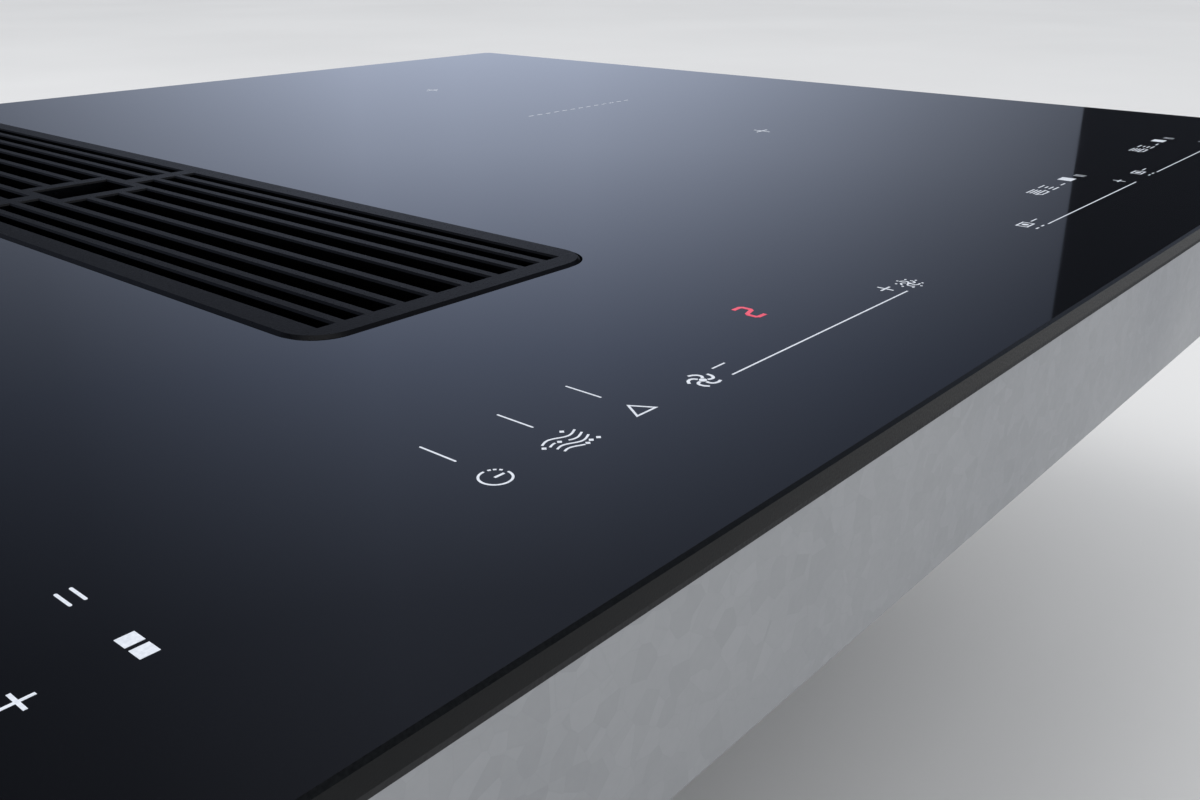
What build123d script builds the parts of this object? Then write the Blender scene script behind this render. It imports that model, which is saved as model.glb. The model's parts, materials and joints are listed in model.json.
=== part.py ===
"""Downdraft induction cooktop, in millimetres.

A black glass hob with four coils and a long air grille in the middle. Cooking vapour goes down
through the grille, a lift-out grease filter and an air shaft, then sideways into a blower that
hangs under the right half of the hob and blows it out to the rear.

Frame: the origin is the middle of the glass on the worktop plane, under the sealing tape.
+X points to the cook's right, +Y to the rear, +Z up.
"""
from build123d import *
import os
from math import atan2, cos, degrees, hypot, radians, sin

os.makedirs("parts", exist_ok=True)

# ---------------------------------------------------------------- glass and worktop
glass_width = 800.0
glass_depth = 510.0
glass_thickness = 4.0
glass_corner_radius = 5.0
glass_edge_chamfer = 0.6
seal_thickness = 2.0
seal_width = 8.0
seal_inset = 1.0
side_overlap = 25.0
end_overlap = 10.0
cutout_clearance = 3.0

# ---------------------------------------------------------------- air inlet and grille
inlet_width = 90.0
inlet_front_margin = 107.0
inlet_rear_margin = 45.0
inlet_corner_radius = 11.0
grille_gap = 0.5
grille_thickness = 9.0
grille_rise = 0.6
grille_edge_chamfer = 0.8
slot_widths = (3.9, 4.5, 5.6, 6.3, 7.1, 6.3, 5.6, 4.5, 3.9)
slot_edge_chamfer = 0.5
middle_slots = (3, 4, 5)
bar_width = 3.3
grille_end_border = 7.3
cross_bar_width = 7.0
finger_hole_width = 24.0
finger_hole_length = 17.0
finger_hole_border = 6.0
grille_relief_depth = 2.0
pad_radius = 2.6
pad_edge_gap = 0.9
pad_pitch = 119.0
pad_pocket_depth = 1.0

# ---------------------------------------------------------------- collar and air shaft
collar_flange_width = 12.0
collar_clearance = 0.3
collar_wall = 2.5
collar_ledge_width = 4.8
collar_ledge_top = -3.0
collar_ledge_thickness = 2.0
collar_spout_length = 7.0
shaft_wall = 2.5
shaft_clearance = 0.5
shaft_bottom = -186.5
shaft_flange_width = 9.0
shaft_flange_thickness = 2.0
flange_screw_spacing = 260.0
shaft_corner_radius = 8.0
filter_ledge_top = -31.0
filter_ledge_thickness = 3.0
filter_ledge_width = 6.5
window_width = 168.0
window_bottom = -95.0
window_top = -60.0

# ---------------------------------------------------------------- grease filter cassette
filter_clearance = 0.7
filter_rim_thickness = 2.0
filter_depth = 59.0
filter_skirt_clearance = 0.5
filter_sheet = 1.2
trough_width = 26.0
trough_height = 8.0
panel_thickness = 5.0
panel_slot_width = 4.0
panel_slot_length = 40.0
panel_slot_pitch = 15.0
panel_slot_margin = 5.0
panel_end_gap = 4.0
handle_span = 44.0
handle_height = 15.0
handle_radius = 3.0
bridge_width = 16.0

# ---------------------------------------------------------------- overflow tray
tray_wall_thickness = 1.5
tray_flange_thickness = 2.0
gasket_thickness = 1.5
gasket_width = 2.0
tray_basin_depth = 9.5
tray_upstand_height = 15.0
tray_upstand_clearance = 1.2
tray_draft_inset = 3.0
screw_offset = 9.0
screw_boss_radius = 7.0
screw_boss_height = 21.0
screw_hole_depth = 14.0
screw_shank_radius = 2.5
screw_shank_length = 14.0
screw_running_gap = 0.05
knob_radius = 9.0
knob_height = 8.0
knob_flutes = 8
knob_flute_radius = 2.2

# ---------------------------------------------------------------- base tray and support frame
tray_floor_top = -52.0
sheet_steel = 1.0
tray_corner_radius = 6.0
tray_hole_clearance = 1.0
frame_leg_height = 12.0
frame_thickness = 1.2
frame_flange_width = 10.0
vent_slot_width = 4.0
vent_slot_length = 50.0
vent_slot_pitch = 8.0
vent_slot_count = 8
side_louvre_count = 12
side_louvre_pitch = 12.0
side_louvre_width = 5.0
side_louvre_height = 16.0
side_louvre_y = 110.0

# ---------------------------------------------------------------- blower
blower_shaft_gap = 15.5
blower_y = 10.0
blower_bottom = -200.0
blower_wall_top = -100.0
shell_wall = 2.0
scroll_start_radius = 104.0
scroll_step = 13.0
tongue_angle = 60.0
duct_offset = 65.0
duct_width = 222.0
duct_height = 89.0
duct_setback = 27.0
duct_wall = 2.0
duct_corner_radius = 6.0
spigot_length = 24.0
spigot_flange_thickness = 3.0
bell_throat_radius = 72.0
bell_lip_radius = 8.0
suction_box_radius = 92.0
suction_box_top = -56.0
lug_radius = 6.0
lug_height = 10.0
lug_duct_offset = 1.0
lug_turns = (112.0, 228.0, 285.0, 340.0)
m4_radius = 2.0
m4_head_radius = 3.6
m4_head_height = 2.4
m4_hole_gap = 0.1

# ---------------------------------------------------------------- impeller and motor
impeller_radius = 95.0
impeller_inner_radius = 78.0
impeller_bottom = -181.0
impeller_top = -108.0
impeller_plate = 2.0
blade_count = 36
blade_thickness = 1.4
blade_bulge = 5.0
blade_lean_angle = 9.0
hub_cup_radius = 45.0
hub_cup_top = -133.0
hub_wall = 2.0
hub_boss_radius = 8.0
hub_boss_drop = 6.0
cup_radius = 42.5
cup_wall = 2.0
magnet_thickness = 3.5
rotor_gap = 1.0
shaft_radius = 4.0
bearing_gap = 0.03
bearing_radius = 8.0
bearing_width = 5.0
bearing_shoulder = 1.0
bearing_tube_wall = 2.0
bearing_tube_drop = 6.0
motor_shaft_bottom = -188.0
mount_plate_top = -189.5
mount_plate_thickness = 2.5
mount_plate_radius = 52.0
stator_teeth = 9
stator_tooth_width = 7.0
stator_shoe_width = 15.4
stator_shoe_depth = 3.0
stator_ring_width = 4.0
stator_height = 24.0
stator_bottom = -176.0
winding_thickness = 3.0
winding_gap = 1.0
rubber_mount_radius = 7.0
rubber_mount_offset = 42.0
rubber_mount_count = 3

# ---------------------------------------------------------------- coils
coil_side_gap = 23.8
coil_rear_gap = 0.8
coil_front_gap = 30.4
coil_gap = 13.0
coil_corner_radius = 60.0
coil_ring_gap = 8.0
coil_hole_width = 30.0
winding_height = 4.5
mat_thickness = 4.0
former_thickness = 2.0
ferrite_thickness = 4.0
ferrite_start_radius = 27.0
ferrite_width = 14.0
ferrite_count = 8
carrier_thickness = 1.5
carrier_margin = 6.0
sensor_radius = 5.0
sensor_gap = 1.0
post_radius = 4.0
post_inset = 8.0
post_end_inset = 12.0

# ---------------------------------------------------------------- electronics
board_thickness = 1.6
board_height = 6.0
board_post_gap = 11.0
board_length = 300.0
board_offset = 7.5
board_inset = 10.0
standoff_radius = 3.0
sink_width = 60.0
sink_length = 150.0
sink_height = 24.0
sink_base = 4.0
sink_fin = 2.0
sink_fin_count = 9
fan_offset = 9.0
fan_setback = 50.0
fan_height = 25.0
fan_wall = 1.5
fan_scroll_radius = 34.0
fan_scroll_step = 3.5
fan_duct_reach = 12.25
fan_duct_start = 13.6
fan_rotor_radius = 31.0
fan_blade_count = 20
fan_spindle_radius = 1.5
fan_inlet_radius = 24.0
fan_tongue_angle = 45.0
touch_board_side_gap = 42.0
touch_board_depth = 36.0
touch_board_top = -2.4
holder_wall = 1.6
holder_rail = 7.8
touch_row_margin = 37.0
touch_pad_radius = 3.0
touch_pad_pitch = 16.0
touch_pad_columns = 6
display_margin = 53.0
display_width = 26.0
display_depth = 12.0
display_offset = 33.0
display_gap = 0.2

# ---------------------------------------------------------------- mains terminal and clamps
terminal_side_gap = 77.0
terminal_setback = 47.0
terminal_width = 90.0
terminal_depth = 60.0
terminal_height = 38.0
terminal_wall = 2.0
gland_radius = 11.0
gland_bore = 7.0
gland_length = 16.0
gland_nut_length = 8.0
block_width = 54.0
block_depth = 22.0
block_height = 18.0
block_setback = 7.5
block_pitch = 9.0
block_ways = 6
clamp_y = 150.0
clamp_width = 24.0
clamp_height = 26.0
clamp_reach = 18.0
clamp_sheet = 1.5
clamp_screw_radius = 2.5
clamp_screw_inset = 6.0
clamp_screw_drop = 2.0
clamp_head_height = 3.0
worktop_thickness = 30.0

# ---------------------------------------------------------------- derived places
glass_bottom = seal_thickness
glass_top_z = glass_bottom + glass_thickness
glass_front = -glass_depth / 2
cutout_width = glass_width - 2 * side_overlap
cutout_depth = glass_depth - 2 * end_overlap
tray_width = cutout_width - 2 * cutout_clearance
tray_depth = cutout_depth - 2 * cutout_clearance
tray_floor_bottom = tray_floor_top - sheet_steel
frame_outer_width = tray_width - 2 * sheet_steel
frame_outer_depth = tray_depth - 2 * sheet_steel
frame_flange_total = frame_thickness + frame_flange_width
inlet_length = glass_depth - inlet_front_margin - inlet_rear_margin
inlet_centre_y = (inlet_front_margin - inlet_rear_margin) / 2
inlet_centre = (0, inlet_centre_y)
grille_width = inlet_width - 2 * grille_gap
grille_length = inlet_length - 2 * grille_gap
grille_top = glass_top_z + grille_rise
grille_bottom = grille_top - grille_thickness
collar_inner_width = inlet_width + 2 * collar_clearance
collar_inner_length = inlet_length + 2 * collar_clearance
collar_throat_width = collar_inner_width - 2 * collar_ledge_width
collar_throat_length = collar_inner_length - 2 * collar_ledge_width
collar_bottom = collar_ledge_top - collar_ledge_thickness
collar_spout_width = collar_throat_width + 2 * collar_wall
collar_spout_length_y = collar_throat_length + 2 * collar_wall
shaft_inner_width = collar_spout_width + 2 * shaft_clearance
shaft_inner_length = collar_spout_length_y + 2 * shaft_clearance
shaft_width = shaft_inner_width + 2 * shaft_wall
shaft_length = shaft_inner_length + 2 * shaft_wall
shaft_top = collar_bottom
filter_hole_width = shaft_inner_width - 2 * filter_ledge_width
filter_hole_length = shaft_inner_length - 2 * filter_ledge_width
filter_rim_outer_width = collar_throat_width - 2 * filter_clearance
filter_rim_outer_length = collar_throat_length - 2 * filter_clearance
filter_body_width = filter_hole_width - 2 * filter_skirt_clearance
filter_body_length = filter_hole_length - 2 * filter_skirt_clearance
filter_rim_top = filter_ledge_top + filter_rim_thickness
filter_bottom = filter_ledge_top - filter_depth
screw_places = [
    (0, inlet_centre_y - shaft_length / 2 - screw_offset),
    (0, inlet_centre_y + shaft_length / 2 + screw_offset),
]
scroll_half = scroll_step / 2
scroll_radii = [scroll_start_radius + scroll_step * quarter for quarter in range(4)]
blower_x = shaft_width / 2 + blower_shaft_gap + scroll_radii[1] + scroll_half
blower_centre = (blower_x, blower_y)
upper_plate_top = blower_wall_top + shell_wall
duct_centre_x = blower_x + duct_offset
duct_centre_z = (blower_bottom + upper_plate_top) / 2
duct_end_y = tray_depth / 2 - duct_setback
mirrored = (-1, 1)
sides = (("left", -1), ("right", 1))
holder_front = -frame_outer_depth / 2 + frame_thickness
touch_board_front = holder_front + holder_rail
touch_board_y = touch_board_front + touch_board_depth / 2
touch_board_width = tray_width - 2 * touch_board_side_gap
holder_back = touch_board_front + touch_board_depth + holder_wall
coil_back = frame_outer_depth / 2 - frame_flange_total - coil_rear_gap
coil_front = holder_back + coil_front_gap
coil_width = (coil_back - coil_front - coil_gap) / 2
coil_pitch = coil_width + coil_gap
coil_centre_x = frame_outer_width / 2 - frame_flange_total - coil_side_gap - coil_width / 2
coil_centre_y = (coil_back + coil_front) / 2
coil_ring_width = (coil_width - 2 * coil_ring_gap - coil_hole_width) / 4
coil_places = [
    (f"{row}_{side}", sign * coil_centre_x, coil_centre_y + half * coil_pitch / 2)
    for side, sign in sides
    for row, half in (("front", -1), ("rear", 1))
]
carrier_width = coil_width + 2 * carrier_margin
carrier_length = coil_width + coil_pitch + 2 * carrier_margin
winding_top = glass_bottom - mat_thickness
winding_bottom = winding_top - winding_height
former_bottom = winding_bottom - former_thickness
ferrite_bottom = former_bottom - ferrite_thickness
carrier_bottom = ferrite_bottom - carrier_thickness
board_bottom = tray_floor_top + board_height
board_top = board_bottom + board_thickness
board_centre_x = coil_centre_x
board_centre_y = coil_centre_y + board_offset
board_width = carrier_width - 2 * (post_inset + post_radius + board_post_gap)
fan_x = coil_centre_x + fan_offset
fan_y = -tray_depth / 2 + fan_setback
terminal_x = -tray_width / 2 + terminal_side_gap
terminal_y = tray_depth / 2 - terminal_setback


# ---------------------------------------------------------------- shared shapes
def slab(centre, width, length, bottom, top, radius=0.0, mode=Mode.ADD):
    """A block from its underside to its top, with rounded upright edges where radius is set."""
    with BuildSketch(Plane((centre[0], centre[1], bottom))) as outline:
        if radius > 0:
            RectangleRounded(width, length, radius)
        else:
            Rectangle(width, length)
    extrude(outline.sketch, amount=top - bottom, mode=mode)


def disc(centre, radius, bottom, top, mode=Mode.ADD):
    """An upright cylinder from its underside to its top."""
    with BuildSketch(Plane((centre[0], centre[1], bottom))) as outline:
        Circle(radius)
    extrude(outline.sketch, amount=top - bottom, mode=mode)


def write_piece(piece, name):
    """Label a finished piece and write it as its own STEP file."""
    piece.part.label = name
    export_step(piece.part, f"parts/{name}.step")


def scroll(centre, start_radius, step, tongue, duct, inset=0.0):
    """Scroll outline: four tangent arcs growing by one step a quarter turn, then a duct to +Y.

    duct holds the left side, the right side and the end. inset draws the inside of the wall.
    """
    half = step / 2
    left, right, end = duct
    tongue -= degrees(2 * inset / start_radius)
    radii = [start_radius + step * quarter - inset for quarter in range(4)]
    with BuildLine() as outline:
        first = CenterArc((centre[0] - half, centre[1] + half), radii[0], tongue, 90 - tongue)
        CenterArc((centre[0] - half, centre[1] - half), radii[1], 90, 90)
        CenterArc((centre[0] + half, centre[1] - half), radii[2], 180, 90)
        last = CenterArc((centre[0] + half, centre[1] + half), radii[3], 270, 90)
        Polyline(last @ 1, (right - inset, end), (left + 1.5 * inset, end), first @ 0)
    make_face(outline.edges())


def blower_outline(inset=0.0):
    """Outline of the blower housing, seen from above."""
    duct = (duct_centre_x - duct_width / 2, duct_centre_x + duct_width / 2, duct_end_y)
    scroll(blower_centre, scroll_start_radius, scroll_step, tongue_angle, duct, inset)


def scroll_place(turn, outset):
    """A place beside the blower's scroll wall, at that turn from +X about its quarter's centre."""
    quarter = int(turn // 90)
    side_x = 1 if quarter > 1 else -1
    side_y = 1 if quarter in (0, 3) else -1
    reach = scroll_radii[quarter] + outset
    return (
        blower_x + side_x * scroll_half + reach * cos(radians(turn)),
        blower_y + side_y * scroll_half + reach * sin(radians(turn)),
    )


# ---------------------------------------------------------------- glass, tape and frame
with BuildPart() as glass_top:
    slab((0, 0), glass_width, glass_depth, glass_bottom, glass_top_z, glass_corner_radius)
    chamfer(glass_top.faces().sort_by(Axis.Z)[-1].edges(), glass_edge_chamfer)
    slab(inlet_centre, inlet_width, inlet_length, glass_bottom, glass_top_z,
         inlet_corner_radius, Mode.SUBTRACT)
write_piece(glass_top, "glass_top")

seal_outer_width = glass_width - 2 * seal_inset
seal_outer_depth = glass_depth - 2 * seal_inset
with BuildPart() as sealing_tape:
    slab((0, 0), seal_outer_width, seal_outer_depth, 0, seal_thickness, glass_corner_radius)
    slab((0, 0), seal_outer_width - 2 * seal_width, seal_outer_depth - 2 * seal_width,
         0, seal_thickness, mode=Mode.SUBTRACT)
write_piece(sealing_tape, "sealing_tape")

with BuildPart() as glass_support_frame:
    slab((0, 0), frame_outer_width, frame_outer_depth, glass_bottom - frame_leg_height,
         glass_bottom, tray_corner_radius - sheet_steel)
    slab((0, 0), frame_outer_width - 2 * frame_flange_total,
         frame_outer_depth - 2 * frame_flange_total,
         glass_bottom - frame_leg_height, glass_bottom, mode=Mode.SUBTRACT)
    slab((0, 0), frame_outer_width - 2 * frame_thickness, frame_outer_depth - 2 * frame_thickness,
         glass_bottom - frame_leg_height, glass_bottom - frame_thickness, mode=Mode.SUBTRACT)
write_piece(glass_support_frame, "glass_support_frame")

# ---------------------------------------------------------------- base tray
shaft_flange_size = (shaft_width + 2 * shaft_flange_width, shaft_length + 2 * shaft_flange_width)
flange_screw_x = shaft_width / 2 + shaft_flange_width / 2
flange_screw_places = [
    (side * flange_screw_x, inlet_centre_y + step * flange_screw_spacing / 2)
    for side in mirrored
    for step in mirrored
]
terminal_hole_radius = 9.0

with BuildPart() as base_tray:
    slab((0, 0), tray_width, tray_depth, tray_floor_bottom, glass_bottom, tray_corner_radius)
    slab((0, 0), tray_width - 2 * sheet_steel, tray_depth - 2 * sheet_steel,
         tray_floor_top, glass_bottom, tray_corner_radius - sheet_steel, Mode.SUBTRACT)
    slab(inlet_centre, shaft_width + tray_hole_clearance, shaft_length + tray_hole_clearance,
         tray_floor_bottom, tray_floor_top, mode=Mode.SUBTRACT)
    with BuildSketch(Plane.XY.offset(tray_floor_bottom)):
        for side in mirrored:
            with Locations((side * fan_x, fan_y)):
                with GridLocations(vent_slot_pitch, 0, vent_slot_count, 1):
                    Rectangle(vent_slot_width, vent_slot_length)
        with Locations(*flange_screw_places):
            Circle(m4_radius + m4_hole_gap)
        with Locations((terminal_x, terminal_y)):
            Circle(terminal_hole_radius)
    extrude(amount=sheet_steel, mode=Mode.SUBTRACT)
    with BuildSketch(Plane.YZ.offset(-tray_width / 2)):
        with Locations((-side_louvre_y, tray_floor_top / 2), (side_louvre_y, tray_floor_top / 2)):
            with GridLocations(side_louvre_pitch, 0, side_louvre_count, 1):
                Rectangle(side_louvre_width, side_louvre_height)
    extrude(amount=tray_width, mode=Mode.SUBTRACT)
write_piece(base_tray, "base_tray")

# ---------------------------------------------------------------- grille
slot_field_width = sum(slot_widths) + bar_width * (len(slot_widths) - 1)
slot_outer_end = grille_length / 2 - grille_end_border
pad_places = [
    (side * (grille_width / 2 - pad_radius - pad_edge_gap), inlet_centre_y + step * pad_pitch)
    for side in mirrored
    for step in (-1, 0, 1)
]

with BuildPart() as grille:
    slab(inlet_centre, grille_width, grille_length, grille_bottom, grille_top,
         inlet_corner_radius - grille_gap)
    chamfer(grille.faces().sort_by(Axis.Z)[-1].edges(), grille_edge_chamfer)
    slab(inlet_centre, slot_field_width, 2 * slot_outer_end, grille_bottom,
         grille_bottom + grille_relief_depth, mode=Mode.SUBTRACT)
    with BuildSketch(Plane((0, inlet_centre_y, grille_bottom + grille_relief_depth))):
        slot_left = -slot_field_width / 2
        for number, slot_width in enumerate(slot_widths):
            if number in middle_slots:
                slot_inner_end = finger_hole_length / 2 + finger_hole_border
            else:
                slot_inner_end = cross_bar_width / 2
            slot_length = slot_outer_end - slot_inner_end
            slot_y = (slot_outer_end + slot_inner_end) / 2
            with Locations(
                (slot_left + slot_width / 2, -slot_y),
                (slot_left + slot_width / 2, slot_y),
            ):
                Rectangle(slot_width, slot_length)
            slot_left += slot_width + bar_width
        Rectangle(finger_hole_width, finger_hole_length)
    extrude(amount=grille_thickness, mode=Mode.SUBTRACT)
    top_face = grille.faces().filter_by(Axis.Z).sort_by(Axis.Z)[-1]
    chamfer(top_face.inner_wires().edges(), slot_edge_chamfer)
    with BuildSketch(Plane.XY.offset(grille_bottom)):
        with Locations(*pad_places):
            Circle(pad_radius)
    extrude(amount=pad_pocket_depth, mode=Mode.SUBTRACT)
write_piece(grille, "grille")

with BuildPart() as grille_pads:
    with BuildSketch(Plane.XY.offset(collar_ledge_top)):
        with Locations(*pad_places):
            Circle(pad_radius)
    extrude(amount=grille_bottom + pad_pocket_depth - collar_ledge_top)
write_piece(grille_pads, "grille_pads")

# ---------------------------------------------------------------- inlet collar
with BuildPart() as inlet_collar:
    slab(inlet_centre, collar_inner_width + 2 * collar_flange_width,
         collar_inner_length + 2 * collar_flange_width, 0, glass_bottom,
         inlet_corner_radius + collar_flange_width)
    slab(inlet_centre, collar_inner_width + 2 * collar_wall, collar_inner_length + 2 * collar_wall,
         collar_bottom, 0, inlet_corner_radius + collar_wall)
    slab(inlet_centre, collar_spout_width, collar_spout_length_y,
         collar_bottom - collar_spout_length, collar_bottom, shaft_corner_radius)
    slab(inlet_centre, collar_throat_width, collar_throat_length,
         collar_bottom - collar_spout_length, glass_bottom,
         shaft_corner_radius - collar_wall, Mode.SUBTRACT)
    slab(inlet_centre, collar_inner_width, collar_inner_length, collar_ledge_top, glass_bottom,
         inlet_corner_radius + collar_clearance, Mode.SUBTRACT)
write_piece(inlet_collar, "inlet_collar")

# ---------------------------------------------------------------- air shaft
shaft_inner_radius = shaft_corner_radius + shaft_clearance
shaft_flange_bottom = tray_floor_bottom - shaft_flange_thickness
with BuildPart() as air_shaft:
    slab(inlet_centre, shaft_width, shaft_length, shaft_bottom, shaft_top,
         shaft_inner_radius + shaft_wall)
    slab(inlet_centre, *shaft_flange_size, shaft_flange_bottom, tray_floor_bottom,
         shaft_inner_radius + shaft_wall)
    for screw_place in screw_places:
        disc(screw_place, screw_boss_radius, shaft_bottom, shaft_bottom + screw_boss_height)
    slab(inlet_centre, 2 * screw_boss_radius, shaft_length + 2 * screw_offset,
         shaft_bottom, shaft_bottom + screw_boss_height)
    slab(inlet_centre, shaft_inner_width, shaft_inner_length, shaft_bottom,
         filter_ledge_top - filter_ledge_thickness, shaft_inner_radius, Mode.SUBTRACT)
    slab(inlet_centre, filter_hole_width, filter_hole_length,
         filter_ledge_top - filter_ledge_thickness, filter_ledge_top,
         shaft_inner_radius, Mode.SUBTRACT)
    slab(inlet_centre, shaft_inner_width, shaft_inner_length, filter_ledge_top, shaft_top,
         shaft_inner_radius, Mode.SUBTRACT)
    slab((shaft_width / 2, blower_y), shaft_wall * 3, window_width, window_bottom, window_top,
         mode=Mode.SUBTRACT)
    with BuildSketch(Plane.XY.offset(shaft_bottom)):
        with Locations(*screw_places):
            Circle(screw_shank_radius + screw_running_gap)
    extrude(amount=screw_hole_depth, mode=Mode.SUBTRACT)
    with BuildSketch(Plane.XY.offset(shaft_flange_bottom)):
        with Locations(*flange_screw_places):
            Circle(m4_radius + m4_hole_gap)
    extrude(amount=shaft_flange_thickness, mode=Mode.SUBTRACT)
write_piece(air_shaft, "air_shaft")

# ---------------------------------------------------------------- grease filter
panel_foot_x = (trough_width - filter_sheet) / 2
panel_head_x = filter_body_width / 2 - filter_sheet
panel_rise = filter_depth - trough_height
panel_angle = degrees(atan2(panel_rise, panel_head_x - panel_foot_x))
panel_height = hypot(panel_rise, panel_head_x - panel_foot_x) - panel_thickness / 2
panel_length = filter_body_length - 2 * filter_sheet - 2 * panel_end_gap
panel_slot_run = panel_length - panel_slot_width - 2 * panel_slot_margin
panel_slot_count = 1 + int(panel_slot_run // panel_slot_pitch)

with BuildPart() as filter_frame:
    slab(inlet_centre, filter_rim_outer_width, filter_rim_outer_length,
         filter_ledge_top, filter_rim_top, shaft_corner_radius - collar_wall)
    slab(inlet_centre, filter_body_width, filter_body_length, filter_bottom, filter_ledge_top,
         shaft_inner_radius)
    slab(inlet_centre, filter_body_width - 2 * filter_sheet, filter_body_length - 2 * filter_sheet,
         filter_bottom + filter_sheet, filter_rim_top, mode=Mode.SUBTRACT)
    for side in mirrored:
        slab((side * filter_body_width / 2, inlet_centre_y), filter_body_width - trough_width,
             filter_body_length - 4 * filter_sheet, filter_bottom, filter_ledge_top,
             mode=Mode.SUBTRACT)
    for side in mirrored:
        slab((side * (trough_width - filter_sheet) / 2, inlet_centre_y), filter_sheet,
             filter_body_length - 2 * filter_sheet, filter_bottom, filter_bottom + trough_height)
    slab(inlet_centre, filter_body_width, bridge_width, filter_ledge_top, filter_rim_top)
write_piece(filter_frame, "filter_frame")

with BuildPart() as filter_panels:
    for side in mirrored:
        panel_plane = Plane(
            origin=(side * panel_foot_x, inlet_centre_y, filter_bottom + trough_height),
            x_dir=(0, side, 0),
            z_dir=(side * sin(radians(panel_angle)), 0, -cos(radians(panel_angle))),
        )
        with BuildSketch(panel_plane):
            with Locations((0, panel_height / 2)):
                Rectangle(panel_length, panel_height)
            with Locations((0, panel_height / 2)):
                with GridLocations(panel_slot_pitch, 0, panel_slot_count, 1):
                    Rectangle(panel_slot_width, panel_slot_length, mode=Mode.SUBTRACT)
        extrude(amount=-panel_thickness)
write_piece(filter_panels, "filter_panels")

with BuildPart() as filter_handle:
    with BuildLine() as handle_path:
        FilletPolyline(
            (-handle_span / 2, inlet_centre_y, filter_rim_top),
            (-handle_span / 2, inlet_centre_y, filter_rim_top + handle_height),
            (handle_span / 2, inlet_centre_y, filter_rim_top + handle_height),
            (handle_span / 2, inlet_centre_y, filter_rim_top),
            radius=2 * handle_radius,
        )
    with BuildSketch(Plane((-handle_span / 2, inlet_centre_y, filter_rim_top))):
        Circle(handle_radius)
    sweep()
write_piece(filter_handle, "filter_handle")

# ---------------------------------------------------------------- overflow tray
gasket_bottom = shaft_bottom - gasket_thickness
tray_flange_bottom = gasket_bottom - tray_flange_thickness
tray_bottom = tray_flange_bottom - tray_basin_depth
upstand_width = shaft_inner_width - 2 * tray_upstand_clearance
upstand_length = shaft_inner_length - 2 * tray_upstand_clearance
ear_length = shaft_length + 4 * screw_offset
with BuildPart() as overflow_tray:
    slab(inlet_centre, shaft_width, shaft_length, tray_flange_bottom, gasket_bottom,
         shaft_corner_radius)
    slab(inlet_centre, 2 * screw_boss_radius, ear_length, tray_flange_bottom, gasket_bottom,
         screw_boss_radius - screw_running_gap)
    slab(inlet_centre, upstand_width, upstand_length, gasket_bottom,
         gasket_bottom + tray_upstand_height, shaft_corner_radius)
    with BuildSketch(Plane((0, inlet_centre_y, tray_flange_bottom))):
        RectangleRounded(upstand_width, upstand_length, shaft_corner_radius)
    with BuildSketch(Plane((0, inlet_centre_y, tray_bottom))):
        RectangleRounded(upstand_width - 2 * tray_draft_inset,
                         upstand_length - 2 * tray_draft_inset, shaft_corner_radius)
    loft()
    slab(inlet_centre, upstand_width - 2 * tray_wall_thickness,
         upstand_length - 2 * tray_wall_thickness, tray_flange_bottom,
         gasket_bottom + tray_upstand_height, shaft_corner_radius - tray_wall_thickness,
         Mode.SUBTRACT)
    with BuildSketch(Plane((0, inlet_centre_y, tray_flange_bottom))):
        RectangleRounded(upstand_width - 2 * tray_wall_thickness,
                         upstand_length - 2 * tray_wall_thickness,
                         shaft_corner_radius - tray_wall_thickness)
    with BuildSketch(Plane((0, inlet_centre_y, tray_bottom + tray_wall_thickness))):
        RectangleRounded(upstand_width - 2 * tray_draft_inset - 2 * tray_wall_thickness,
                         upstand_length - 2 * tray_draft_inset - 2 * tray_wall_thickness,
                         shaft_corner_radius - tray_wall_thickness)
    loft(mode=Mode.SUBTRACT)
    with BuildSketch(Plane.XY.offset(tray_flange_bottom)):
        with Locations(*screw_places):
            Circle(screw_shank_radius + screw_running_gap)
    extrude(amount=tray_flange_thickness, mode=Mode.SUBTRACT)
write_piece(overflow_tray, "overflow_tray")

with BuildPart() as tray_gasket:
    slab(inlet_centre, shaft_inner_width + 2 * gasket_width, shaft_inner_length + 2 * gasket_width,
         gasket_bottom, shaft_bottom, shaft_inner_radius + gasket_width)
    slab(inlet_centre, shaft_inner_width, shaft_inner_length, gasket_bottom, shaft_bottom,
         shaft_inner_radius, Mode.SUBTRACT)
write_piece(tray_gasket, "tray_gasket")

for screw_name, screw_place in zip(("front", "rear"), screw_places):
    with BuildPart() as tray_screw:
        disc(screw_place, knob_radius, tray_flange_bottom - knob_height, tray_flange_bottom)
        with BuildSketch(Plane((*screw_place, tray_flange_bottom - knob_height))):
            with PolarLocations(knob_radius, knob_flutes):
                Circle(knob_flute_radius)
        extrude(amount=knob_height, mode=Mode.SUBTRACT)
        disc(screw_place, screw_shank_radius, tray_flange_bottom,
             tray_flange_bottom + screw_shank_length)
    write_piece(tray_screw, f"tray_screw_{screw_name}")

# ---------------------------------------------------------------- blower housing
lug_places = [scroll_place(turn, lug_radius / 2) for turn in lug_turns] + [
    (duct_centre_x + side * (duct_width / 2 + lug_duct_offset),
     duct_end_y - lug_radius - lug_duct_offset)
    for side in mirrored
]
mount_bottom = mount_plate_top - mount_plate_thickness
housing_floor = blower_bottom + shell_wall

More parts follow.
